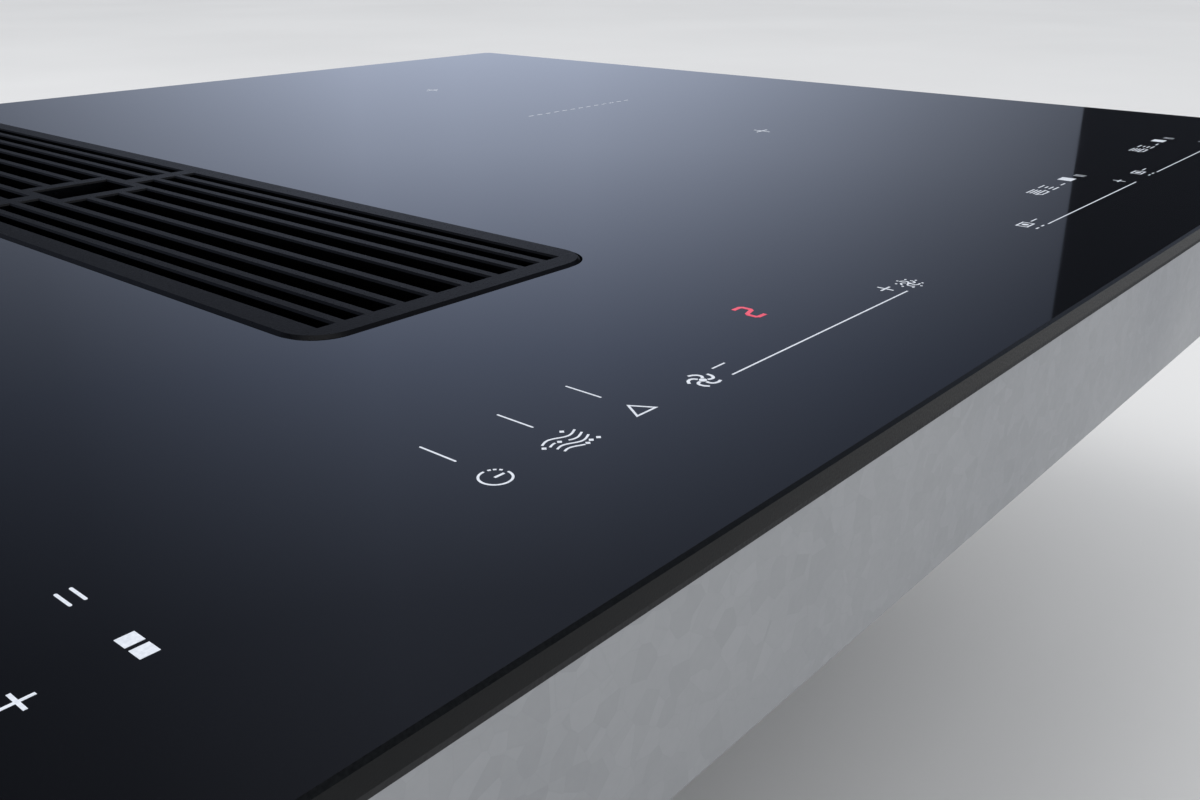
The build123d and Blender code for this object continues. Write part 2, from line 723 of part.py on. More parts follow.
with BuildPart() as blower_lower_shell:
    with BuildSketch(Plane.XY.offset(blower_bottom)):
        blower_outline()
    extrude(amount=blower_wall_top - blower_bottom)
    with BuildSketch(Plane.XY.offset(blower_wall_top - lug_height)):
        with Locations(*lug_places):
            Circle(lug_radius)
    extrude(amount=lug_height)
    with BuildSketch(Plane.XY.offset(housing_floor)):
        blower_outline(shell_wall)
    extrude(amount=blower_wall_top - blower_bottom, mode=Mode.SUBTRACT)
    slab((duct_centre_x, duct_end_y), duct_width - 4 * shell_wall, 4 * shell_wall,
         housing_floor, blower_wall_top, mode=Mode.SUBTRACT)
    with BuildSketch(Plane.XY.offset(blower_wall_top - lug_height)):
        with Locations(*lug_places):
            Circle(m4_radius + m4_hole_gap)
    extrude(amount=lug_height, mode=Mode.SUBTRACT)
write_piece(blower_lower_shell, "blower_lower_shell")

bell_top_radius = bell_throat_radius + bell_lip_radius
with BuildPart() as blower_upper_shell:
    with BuildSketch(Plane.XY.offset(blower_wall_top)):
        blower_outline()
    extrude(amount=shell_wall)
    with BuildSketch(Plane.XY.offset(blower_wall_top)):
        with Locations(*lug_places):
            Circle(lug_radius)
    extrude(amount=shell_wall)
    with BuildSketch(Plane.XY.offset(blower_wall_top)):
        with Locations(*lug_places):
            Circle(m4_radius + m4_hole_gap)
    extrude(amount=shell_wall, mode=Mode.SUBTRACT)
    disc(blower_centre, bell_top_radius, blower_wall_top, upper_plate_top, mode=Mode.SUBTRACT)
    with BuildSketch(Plane.XZ.offset(-blower_y)):
        with BuildLine():
            lip_out = CenterArc(
                (blower_x + bell_top_radius, upper_plate_top - bell_lip_radius),
                bell_lip_radius, 90, 90,
            )
            lip_in = CenterArc(
                (blower_x + bell_top_radius, upper_plate_top - bell_lip_radius),
                bell_lip_radius - shell_wall, 90, 90,
            )
            Line(lip_out @ 0, lip_in @ 0)
            Line(lip_out @ 1, lip_in @ 1)
        make_face()
    revolve(axis=Axis((blower_x, blower_y, 0), (0, 0, 1)))
write_piece(blower_upper_shell, "blower_upper_shell")

suction_neck = blower_x - shaft_width / 2
suction_neck_x = shaft_width / 2 + suction_neck / 2
with BuildPart() as suction_box:
    with BuildSketch(Plane.XY.offset(upper_plate_top)):
        with Locations(blower_centre):
            Circle(suction_box_radius)
        with Locations((suction_neck_x, blower_y)):
            Rectangle(suction_neck, 2 * suction_box_radius)
    extrude(amount=suction_box_top - upper_plate_top)
    with BuildSketch(Plane.XY.offset(upper_plate_top)):
        with Locations(blower_centre):
            Circle(suction_box_radius - shell_wall)
        with Locations((suction_neck_x, blower_y)):
            Rectangle(suction_neck, 2 * (suction_box_radius - shell_wall))
    extrude(amount=suction_box_top - upper_plate_top - shell_wall, mode=Mode.SUBTRACT)
write_piece(suction_box, "suction_box")

with BuildPart() as duct_spigot:
    with BuildSketch(Plane.XZ.offset(-duct_end_y)):
        with Locations((duct_centre_x, duct_centre_z)):
            Rectangle(duct_width, upper_plate_top - blower_bottom)
    extrude(amount=-spigot_flange_thickness)
    with BuildSketch(Plane.XZ.offset(-duct_end_y)):
        with Locations((duct_centre_x, duct_centre_z)):
            RectangleRounded(duct_width, duct_height, duct_corner_radius)
    extrude(amount=-spigot_length)
    with BuildSketch(Plane.XZ.offset(-duct_end_y)):
        with Locations((duct_centre_x, duct_centre_z)):
            RectangleRounded(duct_width - 2 * duct_wall, duct_height - 2 * duct_wall,
                             duct_corner_radius - duct_wall)
    extrude(amount=-spigot_length, mode=Mode.SUBTRACT)
write_piece(duct_spigot, "duct_spigot")

# ---------------------------------------------------------------- impeller and motor
blade_inner = (impeller_inner_radius, 0)
blade_outer = (
    impeller_radius * cos(radians(blade_lean_angle)),
    impeller_radius * sin(radians(blade_lean_angle)),
)
blade_middle = ((blade_inner[0] + blade_outer[0]) / 2, (blade_inner[1] + blade_outer[1]) / 2)
with BuildSketch() as blade_profile:
    with BuildLine():
        back = ThreePointArc(
            blade_inner, (blade_middle[0] + blade_bulge, blade_middle[1] - blade_bulge), blade_outer
        )
        front = ThreePointArc(
            blade_inner,
            (blade_middle[0] + blade_bulge - blade_thickness,
             blade_middle[1] - blade_bulge + blade_thickness),
            blade_outer,
        )
    make_face()

with BuildPart() as impeller:
    with BuildSketch(Plane.XZ.offset(-blower_y)):
        with BuildLine():
            Polyline(
                (blower_x + impeller_radius, impeller_bottom),
                (blower_x + hub_cup_radius, impeller_bottom),
                (blower_x + hub_cup_radius, hub_cup_top - hub_wall),
                (blower_x + hub_boss_radius, hub_cup_top - hub_wall),
                (blower_x + hub_boss_radius, hub_cup_top - hub_boss_drop),
                (blower_x + shaft_radius, hub_cup_top - hub_boss_drop),
                (blower_x + shaft_radius, hub_cup_top + hub_wall),
                (blower_x + hub_boss_radius, hub_cup_top + hub_wall),
                (blower_x + hub_boss_radius, hub_cup_top),
                (blower_x + hub_cup_radius, hub_cup_top),
                (blower_x + hub_cup_radius + hub_wall, hub_cup_top - hub_wall),
                (blower_x + hub_cup_radius + 2 * hub_wall, impeller_bottom + impeller_plate),
                (blower_x + impeller_radius, impeller_bottom + impeller_plate),
                close=True,
            )
        make_face()
    revolve(axis=Axis((blower_x, blower_y, 0), (0, 0, 1)))
    with BuildSketch(Plane((*blower_centre, impeller_bottom + impeller_plate))):
        with PolarLocations(0, blade_count):
            add(blade_profile.sketch)
    extrude(amount=impeller_top - impeller_bottom - 2 * impeller_plate)
    with BuildSketch(Plane((*blower_centre, impeller_top - impeller_plate))):
        Circle(impeller_radius)
        Circle(bell_top_radius + 2 * shell_wall, mode=Mode.SUBTRACT)
    extrude(amount=impeller_plate)
write_piece(impeller, "impeller")

cup_bottom = impeller_bottom + impeller_plate
cup_top = hub_cup_top - hub_boss_drop
with BuildPart() as rotor_cup:
    disc(blower_centre, cup_radius, cup_bottom, cup_top)
    disc(blower_centre, cup_radius - cup_wall, cup_bottom, cup_top - cup_wall, mode=Mode.SUBTRACT)
    disc(blower_centre, shaft_radius, cup_bottom, cup_top, mode=Mode.SUBTRACT)
write_piece(rotor_cup, "rotor_cup")

magnet_outer = cup_radius - cup_wall
magnet_inner = magnet_outer - magnet_thickness
with BuildPart() as magnet_ring:
    disc(blower_centre, magnet_outer, cup_bottom + cup_wall, cup_top - 2 * cup_wall)
    disc(blower_centre, magnet_inner, cup_bottom + cup_wall, cup_top - 2 * cup_wall,
         mode=Mode.SUBTRACT)
write_piece(magnet_ring, "magnet_ring")

with BuildPart() as motor_shaft:
    disc(blower_centre, shaft_radius, motor_shaft_bottom, hub_cup_top + 2 * hub_wall)
write_piece(motor_shaft, "motor_shaft")

tube_radius = bearing_radius + bearing_tube_wall
tube_top = cup_top - bearing_tube_drop
bearing_places = (mount_plate_top, tube_top - bearing_width)
with BuildPart() as motor_bearings:
    for bearing_bottom in bearing_places:
        disc(blower_centre, bearing_radius, bearing_bottom, bearing_bottom + bearing_width)
        disc(blower_centre, shaft_radius + bearing_gap, bearing_bottom,
             bearing_bottom + bearing_width, mode=Mode.SUBTRACT)
write_piece(motor_bearings, "motor_bearings")

with BuildPart() as motor_mount_plate:
    disc(blower_centre, mount_plate_radius, mount_bottom, mount_plate_top)
    disc(blower_centre, tube_radius, mount_plate_top, tube_top)
    disc(blower_centre, bearing_radius, mount_plate_top, tube_top, mode=Mode.SUBTRACT)
    disc(blower_centre, bearing_radius - bearing_shoulder, mount_bottom, mount_plate_top,
         mode=Mode.SUBTRACT)
write_piece(motor_mount_plate, "motor_mount_plate")

with BuildPart() as motor_rubber_mounts:
    with BuildSketch(Plane((*blower_centre, housing_floor))):
        with PolarLocations(rubber_mount_offset, rubber_mount_count):
            Circle(rubber_mount_radius)
    extrude(amount=mount_bottom - housing_floor)
write_piece(motor_rubber_mounts, "motor_rubber_mounts")

stator_radius = magnet_inner - rotor_gap
tooth_start = tube_radius + stator_ring_width
tooth_middle = (tooth_start + stator_radius - stator_shoe_depth) / 2
with BuildPart() as stator_core:
    with BuildSketch(Plane((*blower_centre, stator_bottom))):
        Circle(tooth_start)
        with PolarLocations(tooth_middle, stator_teeth):
            Rectangle(stator_radius - tooth_start + stator_shoe_depth, stator_tooth_width)
        with PolarLocations(stator_radius - stator_shoe_depth, stator_teeth):
            Rectangle(stator_shoe_depth, stator_shoe_width)
        Circle(tube_radius, mode=Mode.SUBTRACT)
    extrude(amount=stator_height)
write_piece(stator_core, "stator_core")

winding_start = tooth_start + winding_gap
winding_length = stator_radius - 2 * stator_shoe_depth - winding_start
with BuildPart() as stator_windings:
    with BuildSketch(Plane((*blower_centre, stator_bottom - winding_thickness))):
        with PolarLocations(winding_start + winding_length / 2, stator_teeth):
            Rectangle(winding_length, stator_tooth_width + 2 * winding_thickness)
    extrude(amount=stator_height + 2 * winding_thickness)
    with BuildSketch(Plane((*blower_centre, stator_bottom))):
        with PolarLocations(winding_start + winding_length / 2, stator_teeth):
            Rectangle(winding_length, stator_tooth_width)
    extrude(amount=stator_height, mode=Mode.SUBTRACT)
write_piece(stator_windings, "stator_windings")

# ---------------------------------------------------------------- blower hangers and screws
blower_pad_radius = 8.0
blower_pad_offset = 55.2
blower_pad_places = [
    (blower_x + side_x * blower_pad_offset, blower_y + side_y * blower_pad_offset)
    for side_x in mirrored
    for side_y in mirrored
]
with BuildPart() as blower_pads:
    with BuildSketch(Plane.XY.offset(suction_box_top)):
        with Locations(*blower_pad_places):
            Circle(blower_pad_radius)
    extrude(amount=tray_floor_bottom - suction_box_top)
write_piece(blower_pads, "blower_pads")

bracket_foot = 24.0
bracket_width = 20.0
bracket_sheet = 2.0
bracket_duct_offset = 60.0
bracket_duct_setback = 30.0
bracket_front_offset = (105.0, -60.0)
bracket_places = [
    (duct_centre_x - bracket_duct_offset, duct_end_y - bracket_duct_setback),
    (duct_centre_x + bracket_duct_offset, duct_end_y - bracket_duct_setback),
    (blower_x + bracket_front_offset[0], blower_y + bracket_front_offset[1]),
]
with BuildPart() as blower_brackets:
    for bracket_x, bracket_y in bracket_places:
        slab((bracket_x, bracket_y), bracket_sheet, bracket_width, upper_plate_top,
             tray_floor_bottom)
        for foot_bottom in (upper_plate_top, tray_floor_bottom - bracket_sheet):
            slab((bracket_x + bracket_foot / 2 - bracket_sheet / 2, bracket_y), bracket_foot,
                 bracket_width, foot_bottom, foot_bottom + bracket_sheet)
write_piece(blower_brackets, "blower_brackets")

flange_screw_length = 5.0
lug_screw_length = 11.0
with BuildPart() as case_screws:
    for head_bottom, shank_top, places in (
        (shaft_flange_bottom - m4_head_height, shaft_flange_bottom + flange_screw_length,
         flange_screw_places),
        (upper_plate_top, upper_plate_top - lug_screw_length, lug_places),
    ):
        with BuildSketch(Plane.XY.offset(head_bottom)):
            with Locations(*places):
                Circle(m4_head_radius)
        extrude(amount=m4_head_height)
        with BuildSketch(Plane.XY.offset(head_bottom)):
            with Locations(*places):
                Circle(m4_radius)
        extrude(amount=shank_top - head_bottom)
write_piece(case_screws, "case_screws")

# ---------------------------------------------------------------- induction coils
with BuildPart() as coil_carriers:
    for side in mirrored:
        slab((side * coil_centre_x, coil_centre_y), carrier_width, carrier_length,
             carrier_bottom, ferrite_bottom, carrier_margin)
write_piece(coil_carriers, "coil_carriers")

ferrite_length = coil_width / 2 - carrier_margin - ferrite_start_radius
with BuildPart() as ferrite_bars:
    for coil_name, coil_x, coil_y in coil_places:
        with BuildSketch(Plane((coil_x, coil_y, ferrite_bottom))):
            with PolarLocations(ferrite_start_radius + ferrite_length / 2, ferrite_count):
                Rectangle(ferrite_length, ferrite_width)
        extrude(amount=ferrite_thickness)
write_piece(ferrite_bars, "ferrite_bars")

coil_core_radius = sensor_radius + sensor_gap
with BuildPart() as coil_formers:
    for coil_name, coil_x, coil_y in coil_places:
        slab((coil_x, coil_y), coil_width, coil_width, former_bottom, winding_bottom,
             coil_corner_radius)
        disc((coil_x, coil_y), coil_core_radius, former_bottom, winding_bottom, mode=Mode.SUBTRACT)
write_piece(coil_formers, "coil_formers")

for coil_name, coil_x, coil_y in coil_places:
    with BuildPart() as coil_winding:
        ring_width = coil_width
        ring_radius = coil_corner_radius
        for ring in range(2):
            slab((coil_x, coil_y), ring_width, ring_width, winding_bottom, winding_top, ring_radius)
            ring_width -= 2 * coil_ring_width
            ring_radius = max(ring_radius - coil_ring_width, ring_width * 0.3)
            slab((coil_x, coil_y), ring_width, ring_width, winding_bottom, winding_top,
                 ring_radius, Mode.SUBTRACT)
            ring_width -= 2 * coil_ring_gap
            ring_radius -= coil_ring_gap
    write_piece(coil_winding, f"coil_winding_{coil_name}")

with BuildPart() as coil_mats:
    for coil_name, coil_x, coil_y in coil_places:
        slab((coil_x, coil_y), coil_width, coil_width, winding_top, glass_bottom,
             coil_corner_radius)
        disc((coil_x, coil_y), coil_core_radius, winding_top, glass_bottom, mode=Mode.SUBTRACT)
write_piece(coil_mats, "coil_mats")

with BuildPart() as temperature_sensors:
    for coil_name, coil_x, coil_y in coil_places:
        disc((coil_x, coil_y), sensor_radius, ferrite_bottom, glass_bottom)
write_piece(temperature_sensors, "temperature_sensors")

with BuildPart() as carrier_posts:
    for side in mirrored:
        with BuildSketch(Plane((side * coil_centre_x, coil_centre_y, tray_floor_top))):
            with GridLocations(carrier_width - 2 * post_inset, carrier_length / 2 - post_end_inset,
                               2, 3):
                Circle(post_radius)
        extrude(amount=carrier_bottom - tray_floor_top)
write_piece(carrier_posts, "carrier_posts")

# ---------------------------------------------------------------- power electronics
with BuildPart() as power_boards:
    for side in mirrored:
        slab((side * board_centre_x, board_centre_y), board_width, board_length,
             board_bottom, board_top)
        with BuildSketch(Plane((side * board_centre_x, board_centre_y, tray_floor_top))):
            with GridLocations(board_width - 2 * board_inset, board_length - 2 * board_inset, 2, 2):
                Circle(standoff_radius)
        extrude(amount=board_height)
write_piece(power_boards, "power_boards")

sink_y = board_centre_y - (board_length - sink_length) / 2
sink_pitch = (sink_width - sink_fin) / (sink_fin_count - 1)
with BuildPart() as heat_sinks:
    for side in mirrored:
        slab((side * board_centre_x, sink_y), sink_width, sink_length, board_top,
             board_top + sink_base)
        with BuildSketch(Plane((side * board_centre_x, sink_y, board_top + sink_base))):
            with GridLocations(sink_pitch, 0, sink_fin_count, 1):
                Rectangle(sink_fin, sink_length)
        extrude(amount=sink_height - sink_base)
write_piece(heat_sinks, "heat_sinks")

transistor_depth = 5.0
transistor_width = 16.0
transistor_height = 21.0
transistor_count = 4
with BuildPart() as power_transistors:
    for side in mirrored:
        transistor_x = side * (board_centre_x + sink_width / 2 + transistor_depth / 2)
        with BuildSketch(Plane((transistor_x, sink_y, board_top))):
            with GridLocations(0, sink_length / transistor_count, 1, transistor_count):
                Rectangle(transistor_depth, transistor_width)
        extrude(amount=transistor_height)
write_piece(power_transistors, "power_transistors")

capacitor_width = 18.0
capacitor_length = 32.0
capacitor_height = 22.0
capacitor_gap = 16.0
capacitor_column_gap = 31.0
capacitor_corner_radius = 2.0
capacitor_row_y = board_centre_y + board_length / 4
with BuildPart() as filter_capacitors:
    for side in mirrored:
        with BuildSketch(Plane((side * board_centre_x, capacitor_row_y, board_top))):
            with GridLocations(capacitor_width + capacitor_column_gap,
                               capacitor_length + capacitor_gap, 3, 2):
                RectangleRounded(capacitor_width, capacitor_length, capacitor_corner_radius)
        extrude(amount=capacitor_height)
write_piece(filter_capacitors, "filter_capacitors")

choke_radius = 14.0
choke_bore = 6.0
choke_height = 16.0
choke_edge_gap = 5.667
choke_end_gap = 11.0
with BuildPart() as filter_chokes:
    for side in mirrored:
        choke_place = (
            side * (board_centre_x - board_width / 2 + choke_edge_gap + choke_radius),
            sink_y - sink_length / 2 + choke_end_gap + choke_radius,
        )
        disc(choke_place, choke_radius, board_top, board_top + choke_height)
        disc(choke_place, choke_bore, board_top, board_top + choke_height, mode=Mode.SUBTRACT)
write_piece(filter_chokes, "filter_chokes")

# ---------------------------------------------------------------- cooling fans
fan_top = tray_floor_top + fan_height
fan_duct_half = fan_scroll_radius + fan_duct_reach
with BuildPart() as fan_housings:
    for side in mirrored:
        fan_centre = (side * fan_x, fan_y)
        fan_duct = (
            fan_centre[0] + fan_duct_start,
            fan_centre[0] + fan_duct_half,
            fan_centre[1] + fan_duct_half,
        )
        with BuildSketch(Plane.XY.offset(tray_floor_top)):
            scroll(fan_centre, fan_scroll_radius, fan_scroll_step, fan_tongue_angle, fan_duct)
        extrude(amount=fan_height)
        with BuildSketch(Plane.XY.offset(tray_floor_top + fan_wall)):
            scroll(fan_centre, fan_scroll_radius, fan_scroll_step, fan_tongue_angle, fan_duct,
                   fan_wall)
        extrude(amount=fan_height - 2 * fan_wall, mode=Mode.SUBTRACT)
        slab(((fan_duct[0] + fan_duct[1]) / 2, fan_duct[2]), fan_duct[1] - fan_duct[0] - 4 * fan_wall,
             4 * fan_wall, tray_floor_top + fan_wall, fan_top - fan_wall, mode=Mode.SUBTRACT)
        disc(fan_centre, fan_inlet_radius, tray_floor_top, tray_floor_top + fan_wall,
             mode=Mode.SUBTRACT)
        disc(fan_centre, fan_spindle_radius, tray_floor_top + 2 * fan_wall, fan_top - fan_wall)
write_piece(fan_housings, "fan_housings")

fan_blade_length = 8.0
fan_blade_thickness = 1.2
fan_blade_inset = 0.5
fan_blade_angle = 25.0
fan_hub_radius = 6.0
fan_rotor_bottom = tray_floor_top + 3 * fan_wall
fan_rotor_top = fan_top - 2 * fan_wall
for side_name, side in sides:
    fan_centre = (side * fan_x, fan_y)
    with BuildPart() as fan_rotor:
        disc(fan_centre, fan_rotor_radius, fan_rotor_top - fan_wall, fan_rotor_top)
        disc(fan_centre, fan_hub_radius, fan_rotor_bottom, fan_rotor_top)
        with BuildSketch(Plane((*fan_centre, fan_rotor_bottom))):
            with PolarLocations(fan_rotor_radius - fan_blade_length / 2 - fan_blade_inset,
                                fan_blade_count):
                with Locations(Rotation(0, 0, fan_blade_angle)):
                    Rectangle(fan_blade_length, fan_blade_thickness)
        extrude(amount=fan_rotor_top - fan_rotor_bottom - fan_wall)
        disc(fan_centre, fan_spindle_radius + screw_running_gap, fan_rotor_bottom, fan_rotor_top,
             mode=Mode.SUBTRACT)
    write_piece(fan_rotor, f"fan_rotor_{side_name}")

# ---------------------------------------------------------------- touch control
touch_board_bottom = touch_board_top - board_thickness
holder_floor = touch_board_bottom - holder_wall
holder_depth = holder_back - holder_front
holder_y = (holder_front + holder_back) / 2
with BuildPart() as touch_board_holder:
    slab((0, holder_y), touch_board_width + 2 * holder_wall, holder_depth, holder_floor,
         touch_board_top)
    slab((0, touch_board_y), touch_board_width, touch_board_depth, touch_board_bottom,
         touch_board_top, mode=Mode.SUBTRACT)
write_piece(touch_board_holder, "touch_board_holder")

with BuildPart() as touch_board:
    slab((0, touch_board_y), touch_board_width, touch_board_depth, touch_board_bottom,
         touch_board_top)
write_piece(touch_board, "touch_board")

with BuildPart() as display_modules:
    with BuildSketch(Plane((0, glass_front + display_margin, touch_board_top))):
        with Locations((-coil_centre_x, 0), (display_offset, 0), (coil_centre_x, 0)):
            Rectangle(display_width, display_depth)
    extrude(amount=glass_bottom - touch_board_top - display_gap)
write_piece(display_modules, "display_modules")

with BuildPart() as touch_pads:
    with BuildSketch(Plane((0, glass_front + touch_row_margin, touch_board_top))):
        with Locations((-coil_centre_x, 0), (0, 0), (coil_centre_x, 0)):
            with GridLocations(touch_pad_pitch, 0, touch_pad_columns, 1):
                Circle(touch_pad_radius)
    extrude(amount=glass_bottom - touch_board_top)
write_piece(touch_pads, "touch_pads")

# ---------------------------------------------------------------- mains terminal
terminal_bottom = tray_floor_bottom - terminal_height
gland_z = tray_floor_bottom - terminal_height / 2
gland_start = terminal_y + terminal_depth / 2
with BuildPart() as terminal_box:
    slab((terminal_x, terminal_y), terminal_width, terminal_depth, terminal_bottom,
         tray_floor_bottom, 3 * terminal_wall)
    slab((terminal_x, terminal_y), terminal_width - 2 * terminal_wall,
         terminal_depth - 2 * terminal_wall, terminal_bottom, tray_floor_bottom - terminal_wall,
         2 * terminal_wall, Mode.SUBTRACT)
    disc((terminal_x, terminal_y), terminal_hole_radius, tray_floor_bottom - terminal_wall,
         tray_floor_bottom, mode=Mode.SUBTRACT)
    with BuildSketch(Plane.XZ.offset(-gland_start)):
        with Locations((terminal_x, gland_z)):
            Circle(gland_bore + terminal_wall)
    extrude(amount=terminal_wall, mode=Mode.SUBTRACT)
write_piece(terminal_box, "terminal_box")

with BuildPart() as cable_gland:
    with BuildSketch(Plane.XZ.offset(-gland_start)):
        with Locations((terminal_x, gland_z)):
            RegularPolygon(gland_radius, 6)
    extrude(amount=-gland_nut_length)
    with BuildSketch(Plane.XZ.offset(-gland_start + terminal_wall)):
        with Locations((terminal_x, gland_z)):
            Circle(gland_bore + terminal_wall)
    extrude(amount=-gland_length - terminal_wall)
    with BuildSketch(Plane.XZ.offset(-gland_start + terminal_wall)):
        with Locations((terminal_x, gland_z)):
            Circle(gland_bore)
    extrude(amount=-gland_length - terminal_wall, mode=Mode.SUBTRACT)
write_piece(cable_gland, "cable_gland")

with BuildPart() as terminal_cover:
    slab((terminal_x, terminal_y), terminal_width, terminal_depth, terminal_bottom - terminal_wall,
         terminal_bottom, 3 * terminal_wall)
write_piece(terminal_cover, "terminal_cover")

block_top = tray_floor_bottom - terminal_wall
block_bottom = block_top - block_height
block_y = terminal_y - block_setback
with BuildPart() as terminal_block:
    slab((terminal_x, block_y), block_width, block_depth, block_bottom, block_top)
    with BuildSketch(Plane((terminal_x, block_y, block_bottom))):
        with GridLocations(block_pitch, 0, block_ways, 1):
            Circle(m4_radius)
    extrude(amount=block_height / 2, mode=Mode.SUBTRACT)
    disc((terminal_x, terminal_y), terminal_hole_radius, block_bottom, block_top,
         mode=Mode.SUBTRACT)
write_piece(terminal_block, "terminal_block")

# ---------------------------------------------------------------- worktop clamps
clamp_places = [(x, y) for x in (-1, 1) for y in (-clamp_y, clamp_y)]
clamp_screw_x = tray_width / 2 + clamp_reach - clamp_screw_inset
arm_bottom = tray_floor_bottom
with BuildPart() as worktop_clamps:
    for side, place_y in clamp_places:
        slab((side * (tray_width + clamp_sheet) / 2, place_y), clamp_sheet, clamp_width,
             arm_bottom, arm_bottom + clamp_height)
        slab((side * (tray_width + clamp_reach) / 2, place_y), clamp_reach, clamp_width,
             arm_bottom, arm_bottom + clamp_sheet)
        disc((side * clamp_screw_x, place_y), clamp_screw_radius, arm_bottom,
             arm_bottom + clamp_sheet, mode=Mode.SUBTRACT)
write_piece(worktop_clamps, "worktop_clamps")

with BuildPart() as clamp_screws:
    for side, place_y in clamp_places:
        disc((side * clamp_screw_x, place_y), clamp_screw_radius, arm_bottom - clamp_screw_drop,
             -worktop_thickness)
        disc((side * clamp_screw_x, place_y), 2 * clamp_screw_radius,
             arm_bottom - clamp_screw_drop - clamp_head_height, arm_bottom - clamp_screw_drop)
write_piece(clamp_screws, "clamp_screws")
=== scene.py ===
import json
from math import cos, pi, radians, sin

import bpy
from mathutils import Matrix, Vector


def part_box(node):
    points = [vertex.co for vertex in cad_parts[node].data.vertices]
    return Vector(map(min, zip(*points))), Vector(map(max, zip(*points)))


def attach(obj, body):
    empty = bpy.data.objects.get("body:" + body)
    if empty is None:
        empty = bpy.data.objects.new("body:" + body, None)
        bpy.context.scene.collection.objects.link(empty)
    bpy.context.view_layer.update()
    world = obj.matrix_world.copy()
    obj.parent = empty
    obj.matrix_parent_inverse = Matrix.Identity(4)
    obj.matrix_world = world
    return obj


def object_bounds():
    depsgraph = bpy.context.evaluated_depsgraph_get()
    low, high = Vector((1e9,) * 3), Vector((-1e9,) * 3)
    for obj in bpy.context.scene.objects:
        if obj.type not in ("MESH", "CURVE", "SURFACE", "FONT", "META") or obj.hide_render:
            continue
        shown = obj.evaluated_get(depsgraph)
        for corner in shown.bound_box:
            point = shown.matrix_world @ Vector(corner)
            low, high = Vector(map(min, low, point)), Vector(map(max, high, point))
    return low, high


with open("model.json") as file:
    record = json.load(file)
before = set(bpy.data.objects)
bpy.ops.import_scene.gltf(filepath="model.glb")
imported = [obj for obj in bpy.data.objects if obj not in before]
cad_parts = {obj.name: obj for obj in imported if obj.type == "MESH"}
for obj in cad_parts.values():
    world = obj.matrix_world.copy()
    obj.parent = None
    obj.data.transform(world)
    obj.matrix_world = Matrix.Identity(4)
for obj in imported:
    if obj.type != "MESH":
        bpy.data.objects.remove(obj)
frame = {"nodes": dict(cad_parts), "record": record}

# Lengths on the glass are in millimetres and in glass places: x from the middle of the glass to the
# cook's right, y from its front edge to the rear. Everything given to Blender is in metres.
mm = 0.001
cad_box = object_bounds()
nodes = frame["nodes"]
glass_low, glass_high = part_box("glass_top")
blower_axis = (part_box("motor_shaft")[0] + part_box("motor_shaft")[1]) / 2


# ---------------------------------------------------------------- materials
class Tree:
    """A node tree, with a short call for each kind of node that looks and the world share."""

    def __init__(self, tree):
        self.tree = tree
        self.tree.nodes.clear()

    def add(self, kind, **settings):
        node = self.tree.nodes.new(kind)
        for name, value in settings.items():
            setattr(node, name, value)
        return node

    def link(self, start, end):
        self.tree.links.new(start, end)

    def feed(self, value, socket):
        """Gives a socket a number, a colour or another node's output."""
        if isinstance(value, (int, float)):
            socket.default_value = value
        elif isinstance(value, tuple):
            socket.default_value = (*value, 1)
        else:
            self.link(value, socket)

    def maths(self, operation, first, second=0.0):
        node = self.add("ShaderNodeMath", operation=operation)
        self.feed(first, node.inputs[0])
        self.feed(second, node.inputs[1])
        return node.outputs["Value"]

    def spread(self, value, low, high, start=0.3, end=0.7, **settings):
        """A value's start to end, spread from low to high."""
        node = self.add("ShaderNodeMapRange", **settings)
        self.link(value, node.inputs["Value"])
        limits = {"From Min": start, "From Max": end, "To Min": low, "To Max": high}
        for name, number in limits.items():
            node.inputs[name].default_value = number
        return node.outputs["Result"]

    def tones(self, value, *stops):
        """A colour ramp along a value: each stop is a place from 0 to 1 and a colour."""
        node = self.add("ShaderNodeValToRGB")
        elements = node.color_ramp.elements
        while len(elements) < len(stops):
            elements.new(0.5)
        for element, (place, colour) in zip(elements, stops):
            element.position = place
            element.color = (*colour, 1)
        self.link(value, node.inputs["Fac"])
        return node.outputs["Color"]

    def blend(self, factor, first, second, **settings):
        """From the first colour to the second by a factor."""
        node = self.add("ShaderNodeMix", data_type="RGBA", **settings)
        self.feed(factor, node.inputs["Factor"])
        self.feed(first, node.inputs[6])
        self.feed(second, node.inputs[7])
        return node.outputs[2]


